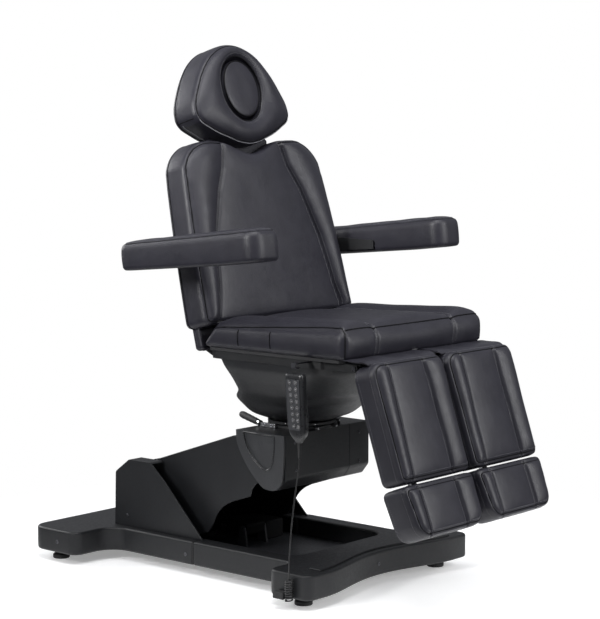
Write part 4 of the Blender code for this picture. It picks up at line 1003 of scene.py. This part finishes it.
def make_lever():
    x, y, z = -0.087, 0.014, 0.388
    clamp = box((x - 0.0145, y - 0.008, z - 0.0035), (x - 0.005, y + 0.042, z + 0.0085))
    solid("lever_block", clamp, "chrome", "lock_lever", ["lever_clamp"], 0.0018, 3)
    for k, dy in enumerate((0.004, 0.030)):
        screw(f"lever_bolt_{k}", (x - 0.0145, y + dy, z + 0.0025), (-1, 0, 0), "lock_lever", 0.0048, "chrome")
    low = Vector((x - 0.0097, y + 0.0448, z + 0.0050))
    way = Vector((0.052, 0.136, 0.012)).normalized()
    grip = [(0.0050, 0.000), (0.0054, 0.010), (0.0058, 0.0125), (0.0076, 0.0140), (0.0083, 0.020), (0.0078, 0.024),
            (0.0088, 0.030), (0.0084, 0.040), (0.0091, 0.050), (0.0087, 0.060), (0.0094, 0.070), (0.0090, 0.082),
            (0.0095, 0.095), (0.0090, 0.104), (0.0078, 0.110), (0.0045, 0.1138)]
    solid("lever_handle", lathe(grip, low, way, 28), "rubber", "lock_lever", ["lever_grip"],
          smooth=60)
    ferrule = [(0.0064, 0.0), (0.0078, 0.0010), (0.0078, 0.0056), (0.0066, 0.0066), (0.0072, 0.0082),
               (0.0072, 0.0112), (0.0062, 0.0124)]
    solid("lever_ferrule", lathe(ferrule, low, way, 24), "chrome", "lock_lever")


def super_ring(x0, x1, y0, y1, power, z, count=96):
    cx, cy, ax, ay = (x0 + x1) / 2, (y0 + y1) / 2, (x1 - x0) / 2, (y1 - y0) / 2
    ring = []
    for i in range(count):
        a = 2 * math.pi * (i + 0.5) / count
        c, s = math.cos(a), math.sin(a)
        ring.append((cx + ax * math.copysign(abs(c) ** (2 / power), c),
                     cy + ay * math.copysign(abs(s) ** (2 / power), s), z))
    return ring


def make_dish():
    sections = np.array([
        (0.259, -0.298, 0.093, 6.0, 0.5761), (0.256, -0.294, 0.092, 5.0, 0.556),
        (0.238, -0.270, 0.090, 4.0, 0.525), (0.212, -0.235, 0.098, 3.2, 0.490),
        (0.172, -0.176, 0.164, 2.2, 0.460), (0.136, -0.136, 0.136, 2.0, 0.4225),
        (0.088, -0.088, 0.088, 2.0, 0.4055)])
    knots = np.arange(len(sections))
    fine = np.linspace(0, len(sections) - 1, 43)
    rows = np.stack([np.interp(fine, knots, sections[:, k]) for k in range(5)], 1)
    for _ in range(3):      # ease the breaks between sections
        rows[1:-1] = rows[1:-1] * 0.5 + (rows[:-2] + rows[2:]) * 0.25
    wall = 0.004
    outer = [super_ring(-h, h, y0, y1, p, z) for h, y0, y1, p, z in rows]
    inner = [super_ring(-h + wall, h - wall, y0 + wall, y1 - wall, p, z + (wall if k else 0))
             for k, (h, y0, y1, p, z) in enumerate(rows)]
    hole = 0.054
    ends = [super_ring(-hole, hole, -hole, hole, 2.0, z) for z in (0.4052, 0.4095)]
    bm = loft(outer + ends + inner[::-1], ring_shaped=True)
    solid("dish_cover", bm, "plastic", "seat", ["under_seat_cover"], smooth=50)


# ------------------------------------------------------------------ hand control
def make_pendant():
    x, y, face = -0.310, -0.247, -0.310 - 0.011

    def level(z, half, thick, cy):
        return super_ring(x - thick / 2, x + thick / 2, cy - half, cy + half, 4.5, z, 48)
    sections = [(0.5710, 0.0200, 0.0120, 0.000), (0.5702, 0.0235, 0.0160, 0.000),
                (0.5680, 0.0262, 0.0196, 0.000), (0.5640, 0.0275, 0.0215, 0.000),
                (0.5560, 0.0279, 0.0220, -0.0004), (0.5200, 0.0280, 0.0220, -0.0025),
                (0.4800, 0.0280, 0.0220, -0.005), (0.4600, 0.0282, 0.0220, -0.0070),
                (0.4450, 0.0276, 0.0218, -0.0080), (0.4330, 0.0256, 0.0212, -0.0092),
                (0.4230, 0.0215, 0.0195, -0.0100), (0.4150, 0.0150, 0.0160, -0.0105),
                (0.4090, 0.0090, 0.0115, -0.0110), (0.4050, 0.0060, 0.0100, -0.0120)]
    body = loft([level(z, half, thick, y + dy) for z, half, thick, dy in sections[::-1]])
    solid("hand_control", body, "gloss", "seat", ["pendant_body"], smooth=50)
    rings = []
    for k in range(15):
        z = 0.4058 - k * 0.00272
        r = 0.0048 - 0.0017 * k / 14 + (0.0005 if k % 2 else 0)
        cy = y - 0.012 - 0.0013 * k / 14
        cx = x - 0.001 * k / 14
        rings.append([(cx + r * math.cos(a), cy + r * math.sin(a), z) for a in angles(20)])
    solid("hand_control_relief", loft(rings), "rubber", "seat")
    pad = rounded([(y - 0.021, 0.557, 0.004), (y + 0.021, 0.557, 0.004), (y + 0.0115, 0.436, 0.006),
                   (y - 0.0265, 0.436, 0.006)], 6)
    solid("hand_control_keypad", prism(pad, face - 0.0015, face - GAP), "tray", "seat",
          ["pendant_keypad"], 0.0004, 2)
    icons = bmesh.new()
    buttons = bmesh.new()
    for row in range(8):
        z = 0.5495 - row * 0.0148
        drift = -0.0006 - row * 0.0017
        for col, dy in enumerate((0.0092, -0.0092)):
            cy = y + dy * (1 - 0.035 * row) + drift
            prism(circle((cy, z), 0.0060, 20), face - 0.0021, face - 0.0014, "X", buttons)
            ring = [Vector((face - 0.0022, p, q)) for p, q in circle((cy, z), 0.0042, 24)]
            tube(ring, 0.00030, 6, True, icons)
            up = 1 if (row + col) % 2 else -1
            arrow = [(cy - 0.0019, z - 0.0010 * up), (cy, z + 0.0021 * up), (cy + 0.0019, z - 0.0010 * up)]
            prism(arrow, face - 0.0024, face - 0.0020, "X", icons)
    solid("hand_control_buttons", buttons, "rubber", "seat", (), 0.0003, 2)
    solid("hand_control_icons", icons, "print", "seat")


# ------------------------------------------------------------------ cushions
def resampled(outline, step=0.006):
    return [(p.x, p.y) for p in even([(a, b, 0) for a, b in outline], step, closed=True)]


def inset_line(outline, amount):
    """Closed line a little inside an outline."""
    pts = np.array(resampled(outline))
    ahead, behind = np.roll(pts, -1, 0), np.roll(pts, 1, 0)
    way = ahead - behind
    way /= np.linalg.norm(way, axis=1)[:, None]
    area = (pts[:, 0] * ahead[:, 1] - ahead[:, 0] * pts[:, 1]).sum()
    inward = np.stack([-way[:, 1], way[:, 0]], 1) * (1 if area > 0 else -1)
    return [tuple(p) for p in pts + inward * amount]


WAVES, WAVE_COUNT = np.random.default_rng(11), 18


def ripple(co, size, amount):
    """Gentle unevenness of stuffed leather, from a few crossed waves."""
    out = np.zeros(len(co))
    for _ in range(WAVE_COUNT):
        way = WAVES.normal(size=3)
        way *= 2 * math.pi / (size * WAVES.uniform(0.7, 1.5)) / np.linalg.norm(way)
        out += np.sin(co @ way + WAVES.uniform(0, 6.28))
    return out * amount / math.sqrt(WAVE_COUNT / 2)


def dome(d, reach):
    """0 at the border, 1 from reach inside it, rising like a stuffed edge."""
    s = np.clip(-d / reach, 0, 1)
    return np.sqrt(np.clip(1 - (1 - s) ** 2, 0, 1))


def sides_swell(co, d, g, t0, t1, amount):
    """The side band bows outwards between its two borders."""
    k = (co[:, 1] - (t0 + t1) / 2) / ((t1 - t0) / 2)
    near = np.clip(1 + d / 0.010, 0, 1)
    push = amount * np.clip(1 - k * k, 0, 1) * near
    co[:, 0] += push * g[:, 0]
    co[:, 2] += push * g[:, 1]
    return co


# backrest
BACK_FRAME, BACK_T = slab_frame((0.0, 0.058, 0.610), math.radians(14)), 0.070
BACK_LOW, BACK_TOP, BACK_DIP = 0.052, 0.522, 0.034
CHANNEL = [(0.040, 0.240), (0.080, 0.236), (0.130, 0.222), (0.260, 0.200), (0.390, 0.155), (0.450, 0.125),
           (0.515, 0.108), (0.530, 0.104)]


def channel_x(v):
    """Half the width between the two channels at height v."""
    return np.interp(v, [p[0] for p in CHANNEL], [p[1] for p in CHANNEL])


def back_half_width(v):
    k = (v - BACK_LOW) / (BACK_TOP - BACK_LOW)
    return 0.287 - 0.010 * k - 0.020 * k * k


def back_outline():
    heights = np.linspace(BACK_LOW, 0.415, 12)
    left = [(back_half_width(v), v) for v in heights]
    shoulder = [(0.168 + 0.103 * math.cos(a), BACK_TOP - 0.110 + 0.110 * math.sin(a))
                for a in (math.radians(24 + 66 * i / 16) for i in range(17))]
    dip = [(0.125 * s, BACK_TOP - BACK_DIP * (0.5 + 0.5 * math.cos(math.pi * s)))
           for s in (1 - i / 16 for i in range(1, 16))]
    half = left + shoulder + dip
    return half + [(0.0, BACK_TOP - BACK_DIP)] + mirror_x(half)


def make_backrest():
    outline = resampled(rounded_foot(back_outline()), 0.008)

    def shape(co, d, g, front):
        low_dip = (np.abs(co[:, 0]) < 0.14) & (co[:, 2] > 0.44)
        co = sides_swell(co, d, g, 0.0, BACK_T, np.where(low_dip, 0.0005, 0.0018))
        x, v = co[:, 0], co[:, 2]
        ax = np.abs(x)
        seam = channel_x(v)
        half = np.interp(v, [0.052, 0.25, 0.42, 0.48, 0.52], [0.287, 0.281, 0.266, 0.240, 0.195])
        s = np.clip((ax - seam) / np.maximum(half - seam, 0.02), 0, 1)
        roll = np.sin(np.pi * s) ** 0.8 * 0.017
        roll = np.where(ax > seam, roll, 0)
        ends = dome(d, 0.045)
        middle = np.where(ax <= seam, 0.009 * np.sqrt(np.clip(1 - (ax / np.maximum(seam, 0.01)) ** 2, 0, 1)), 0)
        lift = 0.004 * dome(d, 0.02) + (roll + middle) * ends
        groove = 0.0085 * dent(ax - seam, 0.0055) * dome(d, 0.012)
        co[:, 1] -= (lift - groove + ripple(co, 0.16, 0.0006) * dome(d, 0.03)) * front
        neck = (ax < 0.110) & (v > 0.44)
        co[:, 1] += 0.0042 * dent(d + 0.0075, 0.0026) * front * np.where(neck, 0, 1)
        return co
    pad = Pad("back_cushion", outline, (0.0, BACK_T), BACK_FRAME, (0.009, 0.007), shape, 0.0036,
              held_by([[(s * x, v) for v, x in CHANNEL] for s in (-1, 1)], (0.0, BACK_T)))
    pad.piece("backrest", ["backrest_cushion"])
    rows = []
    for sign in (-1, 1):
        for off in (-0.0065, 0.0065):
            line = [(sign * (channel_x(v) + off), v) for v in np.linspace(0.068, 0.500, 110)]
            rows.append(pad.on_face(line, 0.0001))
    stitches("back_stitching", rows, "backrest")
    ring = inset_line(outline, 0.0075)
    first = min(range(len(ring)), key=lambda k: abs(ring[k][0]) + ring[k][1])
    ring = ring[first:] + ring[:first]      # from the middle of the foot, so each side is one unbroken run
    sides = [[p for p in ring if p[0] * sign > 0 and (abs(p[0]) > 0.110 or p[1] < 0.44)] for sign in (1, -1)]
    piping("back_welt_front", [pad.on_face(side, -0.0002) for side in sides], "backrest", 0.0016)
    edge = [(x, v, BACK_T - 0.011) for x, v in resampled(outline)]
    piping("back_welt_rear", [pad.on_side(edge, -0.0004)], "backrest", 0.0017, True)
    # skirt that carries on down behind the seat
    half = 0.270
    skirt = rounded([(-half, -0.004, 0.006), (half, -0.004, 0.006), (half, 0.075, 0.002),
                     (-half, 0.075, 0.002)], 4)

    def plain(co, d, g, front):
        return sides_swell(co, d, g, 0.040, 0.066, 0.001)
    Pad("back_skirt", resampled(skirt, 0.01), (0.040, 0.066), BACK_FRAME, (0.004, 0.004), plain,
        0.0045).piece("backrest", ())


def rounded_foot(outline):
    """The outline with its two lower corners eased."""
    pts = [(a, b, 0) for a, b in outline]
    pts[0] = (pts[0][0], pts[0][1], 0.016)
    pts[-1] = (pts[-1][0], pts[-1][1], 0.016)
    return rounded(pts, 8)


HEADREST_FRAME, HEADREST_T = slab_frame((0.0, 0.184, 1.106), math.radians(16)), 0.078
HEADREST_HALF = [(0.000, 0.000), (0.040, 0.005), (0.075, 0.017), (0.110, 0.029), (0.140, 0.044), (0.165, 0.058),
                 (0.179, 0.076), (0.181, 0.095), (0.176, 0.120), (0.158, 0.155), (0.134, 0.192), (0.104, 0.227),
                 (0.074, 0.250), (0.038, 0.266), (0.000, 0.2715)]
FACE_V, FACE_A, FACE_B = 0.148, 0.0715, 0.0840


def headrest_outline():
    half = HEADREST_HALF
    loop = half + [(-x, v) for x, v in reversed(half[1:-1])]
    return [(p.x, p.y) for p in curve_through([(x, v, 0) for x, v in loop], 140, closed=True)]


def face_oval(half_x, half_v, count):
    return [(half_x * math.cos(a), FACE_V + half_v * math.sin(a)) for a in angles(count)]


def make_headrest():
    outline = resampled(headrest_outline(), 0.007)

    def shape(co, d, g, front):
        co = sides_swell(co, d, g, 0.0, HEADREST_T, np.where(co[:, 2] < 0.06, 0.0, 0.0018))
        x, v = co[:, 0], co[:, 2]
        q = np.hypot(x / FACE_A, (v - FACE_V) / FACE_B)
        rim = np.clip((q - 1) * 0.078, 0, None)           # distance outside the face opening
        total = np.maximum(rim - d, 1e-4)
        s = np.clip(rim / total, 0, 1)
        roll = 0.019 * np.sin(np.pi * np.clip(s * 0.90 + 0.10, 0, 1)) ** 0.9
        hole = ramp((1.03 - q) / 0.08) * 0.040
        border = 0.0040 * dent(d + 0.0070, 0.0025)
        co[:, 1] += (hole + border - roll - 0.003 * dome(d, 0.02)
                     - ripple(co, 0.10, 0.0005) * dome(d, 0.03)) * front
        return co
    seam = [(FACE_A * math.cos(a / 5), FACE_V + FACE_B * math.sin(a / 5)) for a in range(33)]
    pad = Pad("headrest_cushion_soft", outline, (0.0, HEADREST_T), HEADREST_FRAME, (0.008, 0.007), shape, 0.0030,
              held_by([seam], (0.0, HEADREST_T)))
    pad.piece("headrest", ["headrest_cushion"])
    oval = face_oval(0.0652, 0.0772, 72)

    def plug_shape(co, d, g, front):
        co[:, 1] -= (0.008 * dome(d, 0.045) + ripple(co, 0.07, 0.0004) * dome(d, 0.02)) * front
        return co
    plug = Pad("headrest_plug_soft", oval, (-0.011, 0.036), HEADREST_FRAME, (0.006, 0.004), plug_shape, 0.0030)
    plug.piece("headrest", ["headrest_plug"])
    ring = inset_line(oval, 0.003)
    piping("headrest_plug_welt", [plug.on_face(ring, 0.0002)], "headrest", 0.0021, True)
    ring = face_oval(0.0748, 0.0876, 80)
    piping("headrest_face_welt", [pad.on_face(ring, -0.0002)], "headrest", 0.0019, True)
    edge = inset_line(outline, 0.0070)
    piping("headrest_welt_front", [pad.on_face(edge, -0.0002)], "headrest", 0.0015, True)
    # the two pale lines below, along the lower border and under the band, are painted highlight of those edges
    low = [p for p in inset_line(outline, 0.0030) if p[1] < 0.070]
    low.sort(key=lambda p: p[0])
    piping("headrest_low_line", [pad.on_face(low, 0.0004)], "headrest", 0.0010, mat="pale")
    under = [(x, v, HEADREST_T - 0.022) for x, v in outline if v < 0.070]
    under.sort(key=lambda p: p[0])
    piping("headrest_under_line", [pad.on_side(under, 0.0004)], "headrest", 0.0010, mat="pale")
    side = [(x, v, HEADREST_T - 0.011) for x, v in outline]
    piping("headrest_welt_rear", [pad.on_side(side, -0.0004)], "headrest", 0.0018, True)
    wider = [(x * 1.09, FACE_V + (v - FACE_V) * 1.08) for x, v in ring + ring[:1]]
    stitches("headrest_stitching", [pad.on_face(wider, 0.0001)], "headrest")
    lines = [pad.on_side([(sign * 0.181, 0.072, t) for t in np.linspace(0.010, 0.066, 14)], -0.0002)
             for sign in (-1, 1)]
    piping("headrest_corner_seams", lines, "headrest", 0.0013)
    # padded neck that closes the space down to the backrest's dip
    neck = resampled(rounded([(-0.100, -0.021, 0.008), (0.100, -0.021, 0.008), (0.118, 0.026, 0.008),
                              (-0.118, 0.026, 0.008)], 6), 0.006)

    def plain(co, d, g, front):
        return co
    Pad("headrest_neck", neck, (0.036, 0.072), HEADREST_FRAME, (0.006, 0.006), plain,
        0.004).piece("headrest_slide", ())


# armrests
def make_armrest(tag, sign):
    x0, x1 = sorted((sign * 0.310, sign * 0.412))
    y0, y1 = -0.210, 0.250
    outline = resampled(rounded([(x0, y0, 0.034), (x1, y0, 0.034), (x1, y1, 0.022), (x0, y1, 0.022)], 12))
    pivot = Vector((sign * 0.300, 0.160, 0.836))
    place = Matrix(((1, 0, 0, 0), (0, 0, 1, 0), (0, -1, 0, 0.866), (0, 0, 0, 1)))
    turn = Matrix.Translation(pivot) @ Matrix.Rotation(-math.radians(6.6), 4, "X") @ Matrix.Translation(-pivot)

    def shape(co, d, g, front):
        co = sides_swell(co, d, g, 0.0, 0.068, 0.0018)
        co[:, 1] -= (0.011 * dome(d, 0.050) + ripple(co, 0.09, 0.0004) * dome(d, 0.02)) * front
        back = 1 - front
        co[:, 1] += 0.003 * dome(d, 0.04) * back
        thin = np.clip((co[:, 2] + 0.10) / 0.35, 0, 1)          # the pad thins towards its hinge
        co[:, 1] -= 0.009 * thin * np.clip((co[:, 1] - 0.01) / 0.05, 0, 1)
        co[:, 1] += 0.0034 * dent(d + 0.0080, 0.0024) * front
        return co
    pad = Pad("armrest_soft_" + tag, outline, (0.0, 0.068), turn @ place, (0.011, 0.008), shape, 0.0034,
              held_by([], (0.0, 0.068)))
    pad.piece("armrest_" + tag, ["armrest_pad_" + tag])
    edge = inset_line(outline, 0.0080)
    piping("armrest_welt_" + tag, [pad.on_face(edge, -0.0002)], "armrest_" + tag, 0.0015, True)
    ring = inset_line(outline, 0.0130)
    stitches("armrest_stitching_" + tag, [pad.on_face(ring + ring[:1], 0.0001)], "armrest_" + tag)


# leg and foot pads
LEG_FRAME = slab_frame((0.0, -0.450, 0.607), math.radians(18.5))
FOOT_FRAME = slab_frame((0.0, -0.5480, 0.3265), math.radians(21.5))


def leg_outline(x0, x1, length, top_r, low_r, taper):
    corners = [(x0, 0.0, top_r), (x1, 0.0, top_r), (x1 - taper, -length, low_r), (x0 + taper, -length, low_r)]
    return resampled(rounded(corners, 10))


def leg_pad(name, replaced, body, x0, x1, length, thick, radii, taper, frame, seams, crown, stretch):
    outline = leg_outline(x0, x1, length, *radii, taper)
    width = x1 - x0

    def seam_x(v, k):
        s = np.clip(-v / length, 0, 1)
        top, low = seams[k]
        return x0 + width * (top + (low - top) * s)

    def shape(co, d, g, front):
        co = sides_swell(co, d, g, 0.0, thick, 0.0015)
        x, v = co[:, 0], co[:, 2]
        a, b = seam_x(v, 0), seam_x(v, 1)
        edge = dome(d, 0.035)
        sa = np.clip((x - x0) / (a - x0), 0, 1)
        sb = np.clip((x1 - x) / (x1 - b), 0, 1)
        mid = np.clip((x - a) / (b - a), 0, 1)
        side = np.where(x < a, np.sin(np.pi * sa) ** 0.8, np.where(x > b, np.sin(np.pi * sb) ** 0.8, 0))
        centre = np.where((x >= a) & (x <= b), np.sin(np.pi * mid) ** 0.6, 0)
        lift = 0.003 * dome(d, 0.015) + edge * (crown[0] * side + crown[1] * centre)
        groove = 0.0075 * (dent(x - a, 0.0034) + dent(x - b, 0.0034)) * dome(d, 0.010)
        co[:, 1] -= (lift - groove + ripple(co, 0.10, 0.0004) * dome(d, 0.02)) * front
        co[:, 1] += 0.0040 * dent(d + 0.0072, 0.0025) * front
        co[:, 2] += (stretch[0] * np.clip(1 + v / 0.05, 0, 1)
                     - stretch[1] * np.clip((-v - length + 0.05) / 0.05, 0, 1))
        return co
    lines = [[(float(seam_x(v, k)), v) for v in (0.0, -length)] for k in (0, 1)]
    pad = Pad(name, outline, (0.0, thick), frame, (0.008, 0.006), shape, 0.0033, held_by(lines, (0.0, thick)))
    pad.piece(body, [replaced])
    rows = []
    for k, off in ((0, 0.0050), (1, -0.0050)):
        line = [(float(seam_x(v, k)) + off, v) for v in np.linspace(-0.010, -length + 0.010, 60)]
        rows.append(pad.on_face(line, 0.0001))
    rows.append(pad.on_face([p for p in inset_line(outline, 0.0130) if p[1] < -length + 0.020], 0.0001))
    rows.append(pad.on_side([(x, v, 0.012) for x, v in outline], 0.0001))
    rows.append(pad.on_side([(x, v, thick - 0.012) for x, v in outline], 0.0001))
    stitches(name + "_stitching", rows, body)
    edge = inset_line(outline, 0.0072)
    piping(name + "_welt", [pad.on_face(edge, -0.0002)], body, 0.0014, True)


def make_leg(tag, sign):
    x0, x1 = sorted((sign * 0.008, sign * 0.280))
    seams = [(0.20, 0.175), (0.71, 0.735)]
    leg_pad("leg_cushion_" + tag, "leg_pad_" + tag, "leg_" + tag, x0, x1, 0.285, 0.060, (0.030, 0.016), 0.004,
            LEG_FRAME, seams, (0.012, 0.006), (0.0, 0.0025))
    leg_pad("foot_cushion_" + tag, "foot_pad_" + tag, "foot_" + tag, x0 + 0.002, x1 - 0.002, 0.122, 0.070,
            (0.014, 0.038), 0.010, FOOT_FRAME, [(0.185, 0.185), (0.715, 0.715)], (0.010, 0.005), (0.0035, 0.0))


# seat
def make_seat():
    """The seat is drawn in side view: outline (y, z), with its thickness along X."""
    half = 0.275
    outline = resampled(rounded([(-0.367, 0.605, 0.010), (-0.367, 0.6760, 0.020), (0.052, 0.6610, 0.016),
                                 (0.100, 0.605, 0.008)], 12))
    place = Matrix(((0, -1, 0, 0), (1, 0, 0, 0), (0, 0, 1, 0), (0, 0, 0, 1)))

    def shape(co, d, g, front):
        y, x, z = co[:, 0], -co[:, 1], co[:, 2]
        ax = np.abs(x)
        skin = np.clip(1 + d / 0.004, 0, 1)
        up = np.clip(g[:, 1], 0, 1) * skin
        ahead = np.clip(-g[:, 0], 0, 1) * skin
        run = np.minimum(np.clip((y + 0.367) / 0.05, 0, 1), np.clip((0.052 - y) / 0.07, 0, 1))
        run = np.sqrt(np.clip(1 - (1 - run) ** 2, 0, 1))
        s = np.clip((ax - 0.155) / 0.120, 0, 1)
        side = np.where(ax > 0.155, np.sin(np.pi * s) ** 0.8, 0)
        centre = np.where(ax <= 0.155, np.sqrt(np.clip(1 - (ax / 0.155) ** 2, 0, 1)), 0)
        lift = 0.004 + run * (0.016 * side + 0.011 * centre)
        groove = dent(ax - 0.155, 0.0050)
        co[:, 2] += up * (lift - 0.0075 * groove * np.clip(0.3 + run, 0, 1))
        tall = np.clip((z - 0.605) / 0.070, 0, 1)
        bow = np.sin(np.pi * np.clip(tall, 0, 1))
        co[:, 0] -= ahead * (bow * (0.004 + 0.004 * side + 0.003 * centre) - 0.005 * groove)
        flank = np.clip((ax - 0.262) / 0.013, 0, 1)
        co[:, 1] += np.sign(co[:, 1]) * flank * bow * 0.004
        co[:, 2] += up * ripple(co, 0.13, 0.0005)
        return co

    def held(co, d):
        pin = np.where(co[:, 2] < 0.622, 1.0, 0.0)
        seam = np.abs(np.abs(co[:, 1]) - 0.155) < 0.006
        border = (np.abs(np.abs(co[:, 1]) - half) < 0.010) & (d > -0.014)
        return np.maximum(pin, np.where(seam, 1.0, np.where(border, 0.75, 0)))
    pad = Pad("seat_cushion_soft", outline, (-half, half), place, (0.016, 0.016), shape, 0.0038, held)
    pad.piece("seat", ["seat_cushion"])

    rows = []
    for sign in (-1, 1):
        for off in (-0.0062, 0.0062):
            x = sign * 0.155 + off
            path = [(x, y, 0.690) for y in np.linspace(0.045, -0.350, 110)]
            path += [(x, -0.372, z) for z in np.linspace(0.672, 0.612, 18)]
            rows.append(pad.on_skin(path, 0.0001))
    stitches("seat_stitching", rows, "seat")
    paths = []
    for sign in (-1, 1):
        path = [(sign * 0.2695, y, 0.6905 - 0.0358 * (y + 0.367) / 0.42)
                for y in np.linspace(0.046, -0.352, 90)]
        paths.append(path + [(sign * 0.2690, -0.3655, z) for z in np.linspace(0.672, 0.612, 16)])
    paths.append([(x, -0.3625, 0.6800) for x in np.linspace(-0.264, 0.264, 120)])
    for sign in (-1, 1):
        for y in (-0.136, -0.030):
            paths.append([(sign * 0.290, y, z) for z in np.linspace(0.668, 0.612, 18)])
    piping("seat_welt", [pad.on_skin(path, 0.0001) for path in paths], "seat", 0.0016)


def make_knee_flaps():
    """Soft flaps from under the seat's front edge onto the tops of the leg pads."""
    for tag, sign in SIDES:
        x0, x1 = sorted((sign * 0.011, sign * 0.272))
        profile = curve_through([(-0.362, 0.6080, 0), (-0.373, 0.6090, 0), (-0.388, 0.6085, 0), (-0.402, 0.6085, 0),
                                 (-0.415, 0.6090, 0), (-0.427, 0.6080, 0), (-0.436, 0.6040, 0)], 24)
        rings = []
        columns = 60
        for k in range(columns + 1):
            u = k / columns
            x = x0 + (x1 - x0) * u
            droop = 0.0016 * math.sin(u * 9.0 + sign) + 0.0012 * math.sin(u * 21.0)
            end = min(u, 1 - u) * columns
            pinch = 1 - 0.35 * max(0, 1 - end / 2) ** 2
            top = [(x, p.x, p.y + droop * math.sin(math.pi * i / 24)) for i, p in enumerate(profile)]
            low = [(x, p.x, p.y - (0.0030 * pinch + 0.0020 * math.sin(math.pi * i / 24)))
                   for i, p in reversed(list(enumerate(profile)))]
            rings.append(top + low)
        obj = made("knee_flap_" + tag, mesh_from(loft(rings), "flap"), "leather", None, (), 50)
        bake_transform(obj)


# ------------------------------------------------------------------ the CAD pieces that stay
# lift_bracket, control_box and lift_motor take the near-black 'shade' plastic: painted shade of the housing's
# inside
KEPT = {
    "base_tray": "tray", "lift_bracket": "shade", "lower_pivot_shaft": "chrome", "control_box": "shade",
    "mains_inlet": "tray", "pendant_cord_gland": "rubber", "lift_arm": "coat", "tension_link": "coat",
    "lift_motor": "shade", "lift_rod": "chrome", "head_casting": "coat", "upper_pivot_shaft": "chrome",
    "seat_column": "coat", "seat_frame": "coat", "leg_hinge_shaft": "bolt", "seat_board": "board",
    "back_actuator": "plastic", "leg_actuator": "plastic", "backrest_board": "board", "headrest_board": "board",
    "headrest_posts": "chrome", "pendant_hook": "bolt",
}
for part in ("armrest_bracket_", "leg_frame_", "foot_frame_"):
    for tag in ("right", "left"):
        KEPT[part + tag] = "coat"
for tag in ("right", "left"):
    KEPT["foot_slide_" + tag] = "chrome"


def finish_kept():
    for name, mat in KEPT.items():
        obj = NODES[name]
        for slot in obj.material_slots:
            slot.material = M[mat]


make_camera()
make_light()
make_floor()
make_cords()
make_base()
make_housing()
make_arm_cover()
make_head()
make_turntable()
make_lever()
make_dish()
make_pendant()
make_backrest()
make_headrest()
for side_name, side_sign in SIDES:
    make_armrest(side_name, side_sign)
    make_leg(side_name, side_sign)
make_seat()
make_knee_flaps()
finish_kept()
